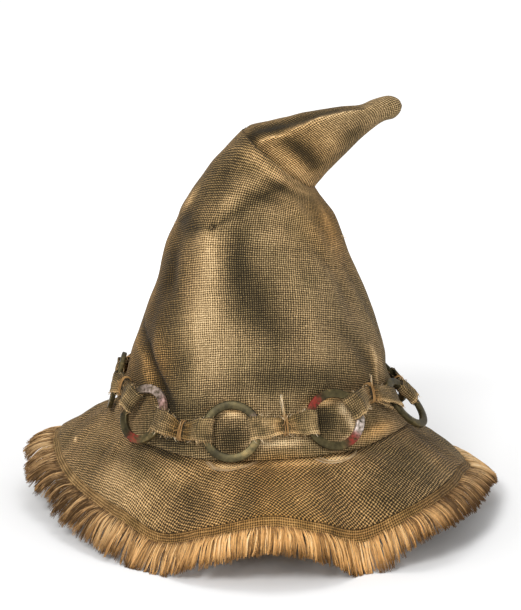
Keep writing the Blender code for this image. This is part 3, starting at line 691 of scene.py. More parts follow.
def weave_group():
    """A plain weave of uneven threads. Height: the cloth's relief. Gap: the holes between the
    threads and their low edges, which the materials paint dark as shade. Thread: how pale each
    thread is, from 0 to 1."""
    inputs = (("Place", None), ("Pitch", 1.5), ("Width", 0.4), ("Wobble", 0.3))
    tree, given, end = new_group("plain_weave", inputs, ("Height", "Gap", "Thread"))

    # The place, counted in threads and pushed about a little, so that none runs quite straight.
    pitch = maths(tree, "MULTIPLY", given["Pitch"], MM)
    per_pitch = maths(tree, "DIVIDE", 1.0, pitch)
    scaled = add_node(tree, "ShaderNodeVectorMath", {0: given["Place"]}, operation="SCALE")
    tree.links.new(per_pitch, scaled.inputs["Scale"])
    drift = add_node(tree, "ShaderNodeTexNoise",
                     {"Vector": scaled.outputs[0], "Scale": 0.16, "Detail": 2.0})
    push = add_node(tree, "ShaderNodeVectorMath",
                    {0: drift.outputs["Color"], 1: (0.5, 0.5, 0.5)}, operation="SUBTRACT")
    pull = add_node(tree, "ShaderNodeVectorMath", {0: push.outputs[0]}, operation="SCALE")
    tree.links.new(maths(tree, "MULTIPLY", given["Wobble"], 6.0), pull.inputs["Scale"])
    moved = add_node(tree, "ShaderNodeVectorMath",
                     {0: scaled.outputs[0], 1: pull.outputs[0]}, operation="ADD")
    split = add_node(tree, "ShaderNodeSeparateXYZ", {0: moved.outputs[0]})

    # The two threads that cross in each cell, and which of them lies on top there.
    cells = [maths(tree, "FLOOR", split.outputs[i]) for i in (0, 1)]
    inside = [maths(tree, "SUBTRACT", maths(tree, "FRACT", split.outputs[i]), 0.5) for i in (0, 1)]
    parity = maths(tree, "MODULO", maths(tree, "ADD", cells[0], cells[1]), 2.0)
    odd = maths(tree, "ABSOLUTE", parity)
    sign = maths(tree, "SUBTRACT", maths(tree, "MULTIPLY", odd, 2.0), 1.0)

    # Each thread has its own width and paleness, thick and thin stretches, and a round body that
    # rises where it passes over the other.
    heights = []
    shades = []
    for own, other, flip, shift in ((0, 1, 1.0, 21.0), (1, 0, -1.0, 77.0)):
        number = maths(tree, "ADD", cells[own], shift)
        chance = add_node(tree, "ShaderNodeTexWhiteNoise", {"W": number},
                          noise_dimensions="1D").outputs["Value"]
        spot = add_node(tree, "ShaderNodeCombineXYZ", {
            0: maths(tree, "MULTIPLY", number, 3.7),
            1: maths(tree, "MULTIPLY", split.outputs[other], 0.45),
        }).outputs[0]
        slub = noise_value(tree, spot, 1.0, 2.0)
        wide = maths(tree, "MULTIPLY_ADD", chance, 0.14, 0.68)
        wide = maths(tree, "ADD", wide, maths(tree, "MULTIPLY", slub, 0.5))
        wide = maths(tree, "MULTIPLY", wide, given["Width"])
        across = maths(tree, "DIVIDE", inside[own], wide)
        round_top = maths(tree, "SUBTRACT", 1.0, maths(tree, "MULTIPLY", across, across))
        body = maths(tree, "SQRT", maths(tree, "MAXIMUM", round_top, 0.0))
        wave = maths(tree, "COSINE", maths(tree, "MULTIPLY", inside[other], math.pi))
        over = maths(tree, "MULTIPLY_ADD", maths(tree, "MULTIPLY", wave, sign), 0.46 * flip, 0.54)
        heights.append(maths(tree, "MULTIPLY", body, over))
        fibre = maths(tree, "MULTIPLY_ADD", slub, 1.3, -0.3)
        shades.append(maths(tree, "MULTIPLY_ADD", chance, 0.3, fibre))

    height = maths(tree, "MAXIMUM", heights[0], heights[1])
    first_over = maths(tree, "GREATER_THAN", heights[0], heights[1])
    gap = maths(tree, "SUBTRACT", 1.0, maths(tree, "MULTIPLY", height, 3.2), clamp=True)
    shade = add_node(tree, "ShaderNodeMix", {0: first_over, 2: shades[1], 3: shades[0]})
    tree.links.new(height, end.inputs["Height"])
    tree.links.new(gap, end.inputs["Gap"])
    tree.links.new(shade.outputs[0], end.inputs["Thread"])
    return tree


def weather_group():
    """Uneven wear and sprayed stains. Tone: the piece's paler and darker places, its stains
    together with the painted shade and light of its creases, hollows and shadows. Shade: how pale
    the cloth
    is, about 0 to 1. Spray: where thin dark paint lies on it."""
    inputs = (("Place", None), ("Tone", 0.0), ("Uneven", 0.3))
    tree, given, end = new_group("weathered", inputs, ("Shade", "Spray"))
    broad = noise_value(tree, given["Place"], 16.0, 3.0, 0.6)
    small = noise_value(tree, given["Place"], 70.0, 3.0, 0.6)
    both = maths(tree, "MULTIPLY_ADD", broad, 1.3, maths(tree, "MULTIPLY", small, 0.7))
    uneven = maths(tree, "MULTIPLY", maths(tree, "SUBTRACT", both, 1.0), given["Uneven"])
    shade = maths(tree, "MULTIPLY_ADD", given["Tone"], 0.34, 0.5)
    shade = maths(tree, "ADD", shade, uneven)
    other = noise_value(tree, given["Place"], 26.0, 4.0, 0.65)
    dark = maths(tree, "MULTIPLY_ADD", given["Tone"], -0.25, -0.42)
    spray = maths(tree, "MULTIPLY", maths(tree, "ADD", other, dark), 4.0, clamp=True)
    tree.links.new(shade, end.inputs["Shade"])
    tree.links.new(spray, end.inputs["Spray"])
    return tree


WEAVE = weave_group()
WEATHER = weather_group()


def new_material(name, roughness, metallic=0.0, sheen=0.0):
    """A material, its node tree and its shader."""
    made = bpy.data.materials.new(name)
    made.use_nodes = True
    tree = made.node_tree
    shader = tree.nodes["Principled BSDF"]
    shader.inputs["Roughness"].default_value = roughness
    shader.inputs["Metallic"].default_value = metallic
    shader.inputs["Sheen Weight"].default_value = sheen
    shader.inputs["Specular IOR Level"].default_value = 0.12
    return made, tree, shader


def use_group(tree, group, links):
    """The outputs of a node group that is placed in a material."""
    return add_node(tree, "ShaderNodeGroup", links, node_tree=group).outputs


def attribute(tree, name):
    """One of the marks of the piece's mesh, as a value."""
    return add_node(tree, "ShaderNodeAttribute", attribute_name=name).outputs["Fac"]


def bump(tree, shader, height, strength, distance):
    """Relief from a height of 0 to 1, as deep as distance says."""
    links = {"Height": height, "Strength": strength, "Distance": distance * MM}
    made = add_node(tree, "ShaderNodeBump", links)
    tree.links.new(made.outputs["Normal"], shader.inputs["Normal"])


def burlap_material(name, stops, pitch, width, wobble, uneven, hole, depth, relief=0.5):
    """Woven jute cloth. stops are its colours from dark to pale. relief: how much paler the tops
    of the threads are painted than their sides, a painted highlight on the tops and painted shade
    on the sides, which shows most where the cloth is dark."""
    made, tree, shader = new_material(name, 0.92, sheen=0.04)
    place = add_node(tree, "ShaderNodeUVMap", uv_map="cloth").outputs[0]
    where = add_node(tree, "ShaderNodeTexCoord").outputs["Object"]
    weave = use_group(tree, WEAVE, {"Place": place, "Pitch": pitch, "Width": width,
                                    "Wobble": wobble})
    weather = use_group(tree, WEATHER, {"Place": where, "Tone": attribute(tree, "tone"),
                                        "Uneven": uneven})
    pale = maths(tree, "MULTIPLY_ADD", weave["Thread"], 0.3, -0.075)
    pale = maths(tree, "ADD", pale, weather["Shade"])
    # Painted highlight and shade: thread tops paler and their sides darker, the more so where the
    # cloth is dark.
    strong = maths(tree, "MULTIPLY_ADD", weather["Shade"], -1.0, relief + 0.5)
    raised = maths(tree, "SUBTRACT", weave["Height"], 0.75)
    pale = maths(tree, "MULTIPLY_ADD", raised, strong, pale)
    colour = ramp(tree, pale, stops)
    olive = mix_colour(tree, maths(tree, "MULTIPLY", weather["Spray"], 0.55), colour,
                       (0.5, 0.55, 0.48), "MULTIPLY")
    warm = mix_colour(tree, attribute(tree, "warm"), olive, (1.25, 0.98, 0.62), "MULTIPLY")
    # Painted shade: holes and low thread edges are mixed towards a near-black colour.
    holes = mix_colour(tree, maths(tree, "MULTIPLY", weave["Gap"], 0.93), warm, hole)
    tree.links.new(holes, shader.inputs["Base Color"])
    bump(tree, shader, weave["Height"], 0.7, depth)
    return made


BURLAP_STOPS = (
    (0.0, (0.035, 0.025, 0.012)),
    (0.25, (0.125, 0.087, 0.041)),
    (0.5, (0.31, 0.205, 0.092)),
    (0.72, (0.56, 0.38, 0.185)),
    (1.0, (0.88, 0.67, 0.39)),
)
STRIP_STOPS = (
    (0.0, (0.052, 0.03, 0.012)),
    (0.3, (0.17, 0.1, 0.038)),
    (0.55, (0.35, 0.215, 0.085)),
    (0.8, (0.56, 0.38, 0.175)),
    (1.0, (0.76, 0.58, 0.32)),
)
TIE_STOPS = (
    (0.0, (0.06, 0.032, 0.013)),
    (0.35, (0.22, 0.12, 0.045)),
    (0.6, (0.46, 0.28, 0.115)),
    (0.85, (0.72, 0.52, 0.28)),
    (1.0, (0.88, 0.74, 0.52)),
)


def make_cloth(name, grid, shape, finish, wall, node, offset=-1.0):
    """A piece of cloth on a grid of columns and rows, with its wall, in place of a plain node."""
    piece = new_object(name, cloth_mesh(name, *grid, shape), finish, node)
    thicken(piece, wall, offset)
    return piece


def make_crown():
    """The crown's cloth, with its dents, creases, stains and painted shade."""

    def shape(across, along):
        azimuths = across * 360.0 - 180.0
        slants = SLANT_LENGTHS[0] * (1.0 - along)
        levels = np.interp(slants, SLANT_LENGTHS[::-1], SLANT_ROWS[::-1])
        plain = crown_points(azimuths, levels)
        normal = surface_normals(crown_points, azimuths, levels, 0.5, 0.04)

        # The solid's dents, which end below the fold and above the band.
        fade = np.clip((240.0 - plain[:, 2]) / 25.0, 0.0, 1.0) * np.clip(levels - 2.0, 0.0, 1.0)
        radial = unit(plain * (-1.0, -1.0, 0.0))
        points = plain + radial * (dent_depths(plain) * fade)[:, None]

        # Creases and soft unevenness. Nothing bulges under the band, and the tip and the fold's
        # left corner stay clean.
        pressed, painted_crease_shading = crease_marks(azimuths, levels)
        pressed += smooth_noise(plain, 34.0, 1.0) * 1.3
        pressed += smooth_noise(plain * (1.0, 1.0, 0.55), 13.0, 2.0) * 0.35
        under_band = np.clip((4.6 - levels) / 0.8, 0.0, 1.0)
        under_band *= np.clip((levels + 0.4) / 0.4, 0.0, 1.0)
        pressed = np.where(pressed < 0.0, pressed * (1.0 - 0.85 * under_band), pressed)
        ending = np.clip((TOP_ROW - 0.5 - levels) / 3.0, 0.0, 1.0)
        corner = ((levels - 14.6) / 0.9) ** 2 + (swing(azimuths, -92.0) / 26.0) ** 2
        pressed *= ending * (1.0 - np.exp(-(corner**2)))
        points = points - normal * pressed[:, None]
        tone = spot_tones(crown_cut, azimuths, levels, PATCH_COLUMNS, CROWN_STAINS_AND_SHADE)
        # Painted shade and light: the creases' tones, a little darker where the cloth is pressed in
        # and paler where it bulges out.
        tone += painted_crease_shading - 0.06 * np.clip(pressed, -2.0, 3.0)
        warm = spot_tones(crown_cut, azimuths, levels, PATCH_COLUMNS, CROWN_WARMTH)
        warm = np.clip(warm, 0.0, 1.0)
        return points, crown_cut(azimuths, levels), {"tone": tone, "warm": warm}

    finish = burlap_material("crown_burlap", BURLAP_STOPS, pitch=CROWN_PITCH, width=0.29,
                             wobble=0.2, uneven=0.27, hole=(0.014, 0.01, 0.005), depth=0.6,
                             relief=0.85)
    return make_cloth("crown_cloth", (220, 186), shape, finish, 1.2, "crown")


def brim_shape(azimuths, shares):
    """The brim's top surface with its soft radial ripples."""
    plain = brim_points(azimuths, shares)
    normal = brim_normals(azimuths, shares)
    out = np.clip(shares, 0.0, 1.0)
    ripple = smooth_noise(at_azimuth(azimuths, 60.0 + 30.0 * shares, 0.0), 9.0, 5.0) * 1.2
    ripple += smooth_noise(plain, 30.0, 7.0) * 1.2
    for azimuth, height, turn_width in BRIM_BULGES:
        bulge = (swing(azimuths, azimuth) / turn_width) ** 2 + ((shares - 0.16) / 0.13) ** 2
        ripple += height * np.exp(-bulge)
    hold = np.sin(math.pi * np.clip(out, 0.0, 0.97)) ** 0.6
    return plain + normal * (ripple * hold)[:, None]


def make_brim():
    """The brim's cloth, from its lap inside the crown to its edge. It is warmest at the front."""
    lap_share = 0.13
    cosine, sine = math.cos(math.radians(BRIM_GRAIN)), math.sin(math.radians(BRIM_GRAIN))
    grain = np.array(((cosine, sine), (-sine, cosine)))

    def shape(across, along):
        azimuths = across * 360.0 - 180.0
        shares = np.where(along < lap_share, along / lap_share - 1.0,
                          (along - lap_share) / (1.0 - lap_share))
        points = brim_shape(azimuths, shares)
        tone = spot_tones(brim_cut, azimuths, shares, BRIM_PATCH_COLUMNS, BRIM_STAINS_AND_SHADOW)
        front = np.exp(-((swing(azimuths, -2.0) / 38.0) ** 2))
        front = front * np.where(swing(azimuths, -2.0) < 0.0, 0.75, 1.0)
        warm = 0.08 + 0.75 * front + 0.2 * np.clip((shares - 0.85) / 0.15, 0.0, 1.0) * front
        warm += 0.25 * np.exp(-((swing(azimuths, -85.0) / 30.0) ** 2))
        warm += 0.3 * np.exp(-((swing(azimuths, 78.0) / 20.0) ** 2))
        return points, brim_cut(azimuths, shares) @ grain, {"tone": tone, "warm": warm}

    finish = burlap_material("brim_burlap", BURLAP_STOPS, pitch=BRIM_PITCH, width=0.285,
                             wobble=0.28, uneven=0.3, hole=(0.014, 0.01, 0.005), depth=0.65,
                             relief=0.9)
    return make_cloth("brim_cloth", (400, 46), shape, finish, 1.4, "brim")


def strip_points(azimuths, outs):
    """The top of the woven edge strip. outs: millimetres beyond the brim's edge."""
    share = 1.0 + np.clip(outs, None, 0.0) / 45.0
    normal = brim_normals(azimuths, share)
    edge = brim_points(azimuths, share) - normal * (BRIM_WALL + STRIP_GAP)
    tip = at_azimuth(azimuths, around(azimuths, "tip_reach"), around(azimuths, "tip_height"))
    return edge + unit(tip - edge) * np.clip(outs, 0.0, None)[:, None]


def make_strip():
    """The woven strip under the brim's edge, darker along its inner line with a painted shadow of
    the brim's edge, and darker on the right.
    """
    hidden = 5.0

    def shape(across, along):
        azimuths = across * 360.0 - 180.0
        outs = -hidden + (hidden + STRIP_SHOWN) * along
        points = strip_points(azimuths, outs)
        normal = -surface_normals(strip_points, azimuths, outs, 0.4, 0.4)
        wave = smooth_noise(at_azimuth(azimuths, 90.0, outs * 0.4), 6.0, 9.0) * 0.7
        edge_rise = 1.6 * np.exp(-((outs - 0.6) / 2.2) ** 2)
        points = points + normal * (wave * np.clip(outs / 4.0, 0.0, 1.0) + edge_rise)[:, None]
        cuts = np.stack((np.radians(azimuths) * 148.0, outs * 0.9), axis=-1)
        # Painted shadow of the brim's edge along the strip's inner line.
        tone = -0.1 - 0.7 * np.exp(-((outs + 0.2) / 0.8) ** 2)
        tone = tone - 0.35 * np.exp(-((swing(azimuths, 66.0) / 28.0) ** 4))
        tone = tone + smooth_noise(at_azimuth(azimuths, 90.0, 0.0), 8.0, 4.0) * 0.35
        warm = 0.1 + 0.5 * np.exp(-((swing(azimuths, 5.0) / 50.0) ** 2))
        return points, cuts, {"tone": tone, "warm": warm}

    finish = burlap_material("strip_burlap", STRIP_STOPS, pitch=STRIP_PITCH, width=0.29,
                             wobble=0.1, uneven=0.25, hole=(0.03, 0.016, 0.006), depth=0.5)
    return make_cloth("edge_strip", (760, 22), shape, finish, 1.1, "fringe_trim")


def strand_material(name, stops):
    """Frayed fibres and threads. Each has its own shade and warmth."""
    made, tree, shader = new_material(name, 0.88, sheen=0.03)
    where = add_node(tree, "ShaderNodeTexCoord").outputs["Object"]
    mottled = noise_value(tree, where, 140.0, 3.0)
    uneven = maths(tree, "MULTIPLY_ADD", mottled, 0.3, -0.15)
    shade = maths(tree, "ADD", attribute(tree, "shade"), uneven)
    warm = mix_colour(tree, attribute(tree, "warm"), ramp(tree, shade, stops), (1.1, 0.91, 0.66),
                      "MULTIPLY")
    tree.links.new(warm, shader.inputs["Base Color"])
    bump(tree, shader, noise_value(tree, where, 900.0, 2.0), 0.4, 0.2)
    return made


STRAND_STOPS = (
    (0.0, (0.11, 0.062, 0.026)),
    (0.28, (0.36, 0.22, 0.098)),
    (0.52, (0.69, 0.46, 0.225)),
    (0.78, (0.84, 0.615, 0.34)),
    (1.0, (0.94, 0.8, 0.58)),
)


# The fringe's two layers: neat fibres above and frizzy ones below. spread: how far the threads
# lean sideways. frizz: how far each thread's fibres spread. shortest and longest: shares of the
# solid's locks. start: how far up the strip the first threads come loose. tint: how much paler
# the layer is painted; the layer below is darker, painted shade in the gaps between the threads
# above.
FRINGE_THREADS = 620
FRINGE_FIBRES = 8
FRINGE_COLUMNS = ("name", "segments", "spread", "frizz", "shortest", "longest", "droop", "start",
                  "tint")
FRINGE_LAYERS = (
    ("fringe_top", 6, 0.6, 0.17, 0.84, 1.07, 0.0, 1.8, 0.17),
    # The under layer's darker tint is painted shade in the gaps between the top layer's threads.
    ("fringe_under", 5, 0.8, 0.5, 0.8, 1.1, 1.0, 0.4, -0.1),
)


def fringe_paths(rng, layer):
    """Frayed fibres that hang from the strip's edge, a few to each of its threads. Neighbouring
    threads lean together in clumps, with gaps between."""
    frizz = layer["frizz"]
    thread = np.repeat(np.arange(FRINGE_THREADS), FRINGE_FIBRES)
    per_thread = [rng.uniform(-1.0, 1.0, FRINGE_THREADS)[thread] for _ in range(5)]
    per_fibre = [rng.uniform(-1.0, 1.0, len(thread)) for _ in range(6)]
    clump_of = np.cumsum(rng.uniform(0.0, 1.0, FRINGE_THREADS) < 0.3)[thread]
    clumps = clump_of.max() + 1
    per_clump = [rng.uniform(-1.0, 1.0, clumps)[clump_of] for _ in range(4)]
    turn_step = 360.0 / FRINGE_THREADS
    thread_turn = turn_step * (thread + 0.5)
    middle = np.bincount(clump_of, thread_turn) / np.bincount(clump_of)
    gathered = (middle[clump_of] - thread_turn) * 0.1
    starts = at_azimuth(turn_step * np.arange(FRINGE_THREADS), 90.0, 0.0)
    lump = smooth_noise(starts, 9.0, 21.0)[thread]

    # Each fibre's root on the strip and its tip. The fringe's left side is the wildest.
    turns = thread_turn + per_fibre[0] * frizz * turn_step
    loose = layer["start"] * (0.5 + 0.5 * per_thread[0])
    roots = strip_points(turns, STRIP_SHOWN - 1.2 - loose)
    roots[:, 2] -= 0.35 + 0.4 * per_fibre[1]
    left = np.exp(-((swing(turns, -73.0) / 32.0) ** 2))
    right = np.exp(-((swing(turns, 66.0) / 26.0) ** 4))
    wild = 1.0 + 1.5 * left
    lean = 1.3 * lump * wild + 0.3 * per_clump[0]
    lean = lean + layer["spread"] * per_thread[0] * (1.0 + 0.6 * left)
    lean = lean + gathered * (1.0 - left) + (1.0 + left) * frizz * per_fibre[2]
    tip_turn = turns + lean
    tips = at_azimuth(tip_turn, around(tip_turn, "tip_reach"), around(tip_turn, "tip_height"))
    chance = 0.5 + 0.2 * per_thread[1] + 0.15 * per_fibre[3] + 0.2 * per_clump[1] * wild
    length = layer["shortest"] + (layer["longest"] - layer["shortest"]) * chance
    run = tips - roots

    # The path from root to tip, bent sideways, curled, lifted and drooping.
    share = np.linspace(0.0, 1.0, layer["segments"] + 1)[None, :, None]
    flat = share[..., 0]
    paths = roots[:, None] + run[:, None] * length[:, None, None] * share
    paths[..., 2] += 2.4 * np.sin(math.pi * flat) - layer["droop"] * flat**2
    side = unit(np.cross(run, (0.0, 0.0, 1.0)))
    bend = (0.7 * per_clump[2] + 0.6 * per_thread[2])[:, None] * wild[:, None]
    bend = bend * np.sin(math.pi * flat * 1.1)
    curl = per_fibre[4][:, None] * 0.55 * flat**1.6
    curl = curl + 0.35 * np.sin(flat * 8.0 + per_thread[0][:, None] * 3.0) * flat
    paths += side[:, None] * (bend + curl)[..., None]
    lift = per_clump[3] * wild + 0.7 * per_thread[3] + 0.6 * per_fibre[1]
    paths[..., 2] += lift[:, None] * flat
    paths[..., 2] -= (left * (1.0 + per_fibre[5]) * 3.2)[:, None] * flat**1.5
    paths[..., 2] = np.maximum(paths[..., 2], 0.45)

    # Darker at roots and tips, on the right and on the left, and warmest at the front.
    shade = 0.54 + 0.2 * per_thread[4] + 0.12 * per_fibre[3] + 0.12 * lump + 0.04 * per_clump[1]
    shade = shade + 0.2 * (per_thread[3] > 0.86) - 0.25 * (per_thread[3] < -0.85)
    shade = shade[:, None] - 0.42 * flat**4 * (1.0 - 0.6 * left[:, None]) - 0.4 * left[:, None]
    shade = shade - 0.25 * np.exp(-((flat / 0.15) ** 2)) - 0.38 * right[:, None]
    warm = 0.1 + 0.9 * np.exp(-((swing(turns, 5.0) / 50.0) ** 2)) + 0.15 * per_thread[1]
    warm = warm[:, None] + 0.3 * flat**3
    return paths, shade + layer["tint"], warm


def make_fringe():
    """The fringe's fibres: thin tubes of three sides, thinner towards their tips."""
    rng = np.random.default_rng(5)
    finish = strand_material("fringe_jute", STRAND_STOPS)
    made = []
    for layer in named_rows(FRINGE_COLUMNS, FRINGE_LAYERS):
        paths, shade, warm = fringe_paths(rng, layer)
        thin = np.linspace(1.0, 0.55, layer["segments"] + 1)[None, :]
        radii = rng.uniform(0.2, 0.33, len(paths))[:, None] * thin
        mesh = tube_bundle(paths, radii, 3, {"shade": shade, "warm": warm})
        made.append(new_object(layer["name"], mesh, finish, "fringe_trim"))
    return made


def loose_fibres(rng, roots, ways, lengths, spread, droop, bend=0.45, segments=6):
    """Short frayed fibres: each starts at a root and runs along its way, bending a little."""
    count = len(roots)
    share = np.linspace(0.0, 1.0, segments + 1)[None, :, None]
    runs = unit(ways + rng.normal(0.0, spread, (count, 3)))
    turned = unit(np.cross(runs, rng.normal(0.0, 1.0, (count, 3))))
    long = np.asarray(lengths)[:, None, None]
    bent = turned[:, None] * rng.uniform(0.2 * bend, bend, count)[:, None, None]
    paths = roots[:, None] + long * (runs[:, None] * share + bent * share**2)
    paths[..., 2] -= droop * long[..., 0] * share[..., 0] ** 2
    return paths


# Tufts at the ties: tie number, sideways lean, count, and shortest and longest length.
TUFTS = (
    (3, -0.08, 22, 12.0, 18.5),
    (3, 0.6, 5, 3.0, 6.0),
    (3, -0.9, 5, 2.0, 5.0),
    (4, 0.05, 12, 5.0, 10.0),
    (2, -0.3, 5, 2.0, 5.0),
    (7, 0.2, 8, 4.0, 9.0),
)

# Single threads that stand up from the crown: azimuth, row and length.
CROWN_THREADS = (
    (-34.0, 10.0, 4.0),
    (79.0, 9.45, 7.0),
    (20.0, 2.6, 8.0),
    (-20.0, 2.5, 7.0),
    (-84.0, 9.6, 6.0),
    (150.0, 8.0, 7.0),
    (230.0, 11.0, 6.0),
)


# Frays that curve over the brim below two rings: first and last azimuth, and how far out they bow
# as a share of the brim.
BRIM_FRAYS = (
    (-20.0, -2.0, 0.14),
    (21.0, 37.0, 0.1),
)
FRAY_THREADS = 28


def edge_fibres(rng, nets):
    """Frayed fibres along the cut edges of the band's cloths, most of them below."""
    paths = []
    for net in nets:
        for edge, inner, count in ((net[0], net[2], 46), (net[-1], net[-3], 30)):
            picked = rng.integers(0, len(edge) - 1, count)
            ways = unit(edge[picked] - inner[picked])
            outward = unit(edge[picked] * (1.0, 1.0, 0.0))
            lengths = rng.uniform(1.2, 3.6, count)
            roots = edge[picked] - ways * 0.4
            paths.append(loose_fibres(rng, roots, ways + outward * 0.35, lengths, 0.35, 0.1))
    return np.concatenate(paths)


def tuft_fibres(rng, waists):
    """The tufts that stand up behind the ties."""
    paths = []
    for number, lean, count, low, high in TUFTS:
        centre, tangent, out, up = waists[number - 1]
        roots = centre + out * 3.4 + up * 3.0 + rng.normal(0.0, 0.25, (count, 3))
        ways = np.tile(up + tangent * lean + out * 0.06, (count, 1))
        paths.append(loose_fibres(rng, roots, ways, rng.uniform(low, high, count), 0.02, 0.0, 0.06))
    return np.concatenate(paths)


def crown_threads(rng):
    """Single threads that stand up from the crown, three fibres each."""
    paths = []
    for azimuth, row, length in CROWN_THREADS:
        place = (np.array([azimuth]), np.array([row]))
        spot = crown_points(*place)
        normal = surface_normals(crown_points, *place, 0.5, 0.04)
        roots = np.tile(spot - normal * 2.0, (3, 1))
        ways = np.tile(normal[0] + (0.0, 0.0, 0.2), (3, 1))
        paths.append(loose_fibres(rng, roots, ways, np.full(3, length), 0.25, 0.3))
    return np.concatenate(paths)


def brim_frays(rng):
    """Pale threads that lie in a curve on the brim, below a ring."""
    share = np.linspace(0.0, 1.0, 7)
    paths = []
    for low, high, deep in BRIM_FRAYS:
        for _ in range(FRAY_THREADS):
            turn = low + (high - low) * share + rng.uniform(-1.0, 1.0)
            reach = 0.06 + deep * np.sin(math.pi * share) ** 0.7 + rng.uniform(-0.012, 0.012)
            lifted = brim_normals(turn, reach) * rng.uniform(0.6, 1.3)
            paths.append(brim_shape(turn, reach) + lifted)
    return np.array(paths)


def make_loose(nets, waists):
    """All loose fibres, in one piece. Those of the tufts are paler towards their ends."""
    rng = np.random.default_rng(12)
    edges = edge_fibres(rng, nets)
    tufts = tuft_fibres(rng, waists)
    paths = np.concatenate((edges, tufts, crown_threads(rng), brim_frays(rng)))
    count, points, _ = paths.shape
    thin = np.linspace(1.0, 0.5, points)[None, :]
    radii = rng.uniform(0.15, 0.28, count)[:, None] * thin
    shade = np.repeat(rng.uniform(0.45, 1.0, count)[:, None], points, axis=1)
    shade[len(edges):len(edges) + len(tufts)] += np.linspace(-0.35, 0.3, points)
    mesh = tube_bundle(paths, radii, 3, {"shade": shade, "warm": 0.0 * shade})
    new_object("loose_fibres", mesh, strand_material("loose_jute", TIE_STOPS))


def node_points(name):
    """A node's vertices in millimetres from the crown's axis."""
    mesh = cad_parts[name].data
    points = np.zeros(len(mesh.vertices) * 3)
    mesh.vertices.foreach_get("co", points)
    return np.unique(np.round(points.reshape(-1, 3) / MM - HAT_AXIS, 3), axis=0)


def spread_axes(points):
    """The middle of some points and their directions of most, middle and least spread."""
    centre = points.mean(axis=0)
    _, _, axes = np.linalg.svd(points - centre, full_matrices=False)
    return centre, axes


def facing(vector, along):
    """The vector, turned round if it points away from along."""
    return vector if np.dot(vector, along) > 0.0 else -vector


UP = np.array((0.0, 0.0, 1.0))
RING_COUNT = 9
RING_OUTER = 20.6
RING_INNER = 14.9
RING_THICKNESS = 3.4


def ring_places():
    """Each ring's middle and outward direction, from its solid."""
    places = []
    for index in range(RING_COUNT):
        centre, axes = spread_axes(node_points(f"ring_{index + 1}"))
        places.append((centre, facing(axes[2], centre * (1.0, 1.0, 0.0))))
    return places


def waist_places():
    """Each tied waist's middle and its tangent, outward and upward directions."""
    places = []
    for index in range(RING_COUNT):
        centre, axes = spread_axes(node_points(f"band_tie_{index + 1}"))
        up = facing(axes[0], UP)
        out = facing(axes[1], centre * (1.0, 1.0, 0.0))
        places.append((centre, np.cross(out, up) * -1.0, out, up))
    return places


METAL_STOPS = (
    (0.2, (0.01, 0.008, 0.004)),
    (0.42, (0.038, 0.031, 0.014)),
    (0.6, (0.098, 0.078, 0.034)),
    (0.85, (0.34, 0.24, 0.1)),
)


def metal_material():
    """Old brass under a mottled olive patina, with crusts of red paint and painted pale glints."""
    made, tree, shader = new_material("old_ring_metal", 0.4, metallic=0.7)
    shader.inputs["Specular IOR Level"].default_value = 0.3
    where = add_node(tree, "ShaderNodeTexCoord").outputs["Object"]
    cloud = noise_value(tree, where, 60.0, 4.0, 0.6)
    fine = noise_value(tree, where, 420.0, 3.0, 0.6)
    mottled = maths(tree, "MULTIPLY_ADD", fine, 0.35, maths(tree, "SUBTRACT", cloud, 0.16))
    patina = ramp(tree, mottled, METAL_STOPS)
    speckle = maths(tree, "MULTIPLY_ADD", fine, 3.2, -1.0)
    red = maths(tree, "MULTIPLY", attribute(tree, "paint"), speckle, clamp=True)
    painted = mix_colour(tree, red, patina, (0.26, 0.014, 0.008))
    tree.links.new(maths(tree, "MULTIPLY_ADD", red, -0.7, 0.7), shader.inputs["Metallic"])
    # Painted highlights: pale pinkish-white glints mixed into the colour, broken up by fine noise.
    white = maths(tree, "MULTIPLY", attribute(tree, "painted_glint"), speckle, clamp=True)
    painted = mix_colour(tree, white, painted, (0.7, 0.6, 0.53))
    tree.links.new(painted, shader.inputs["Base Color"])
    rough = maths(tree, "MULTIPLY_ADD", fine, 0.35, 0.3)
    tree.links.new(rough, shader.inputs["Roughness"])
    height = maths(tree, "ADD", maths(tree, "MULTIPLY", fine, 0.3), cloud)
    bump(tree, shader, height, 0.5, 0.5)
    return made


# Red paint and painted highlights (pale glints) on the rings: ring number, turn in degrees from
# the right-hand side upwards, as seen from outside, width in degrees, and how much of each there
# is.
RING_SPOT_COLUMNS = ("ring", "turn", "width", "paint", "painted_glint")
RING_SPOTS = (
    (2, 82.0, 34.0, 0.35, 0.6),
    (2, 35.0, 14.0, 0.8, 0.3),
    (2, 266.0, 13.0, 1.8, 0.0),
    (2, 160.0, 16.0, 0.8, 0.0),
    (4, 137.0, 13.0, 1.8, 0.0),
    (4, 312.0, 14.0, 1.8, 0.0),
    (4, 342.0, 15.0, 0.1, 1.5),
    (1, 200.0, 22.0, 0.8, 0.0),
    (3, 30.0, 8.0, 0.3, 0.3),
    (6, 80.0, 14.0, 0.9, 0.0),
    (8, 200.0, 16.0, 0.7, 0.5),
)


def ring_spots(number, turns, column):
    """How much paint or painted glint lies on a ring at some turns."""
    amount = np.zeros(len(turns))
    for spot in named_rows(RING_SPOT_COLUMNS, RING_SPOTS):
        if spot["ring"] == number:
            amount += spot[column] * np.exp(-((swing(turns, spot["turn"]) / spot["width"]) ** 2))
    return np.clip(amount, 0.0, 1.0)


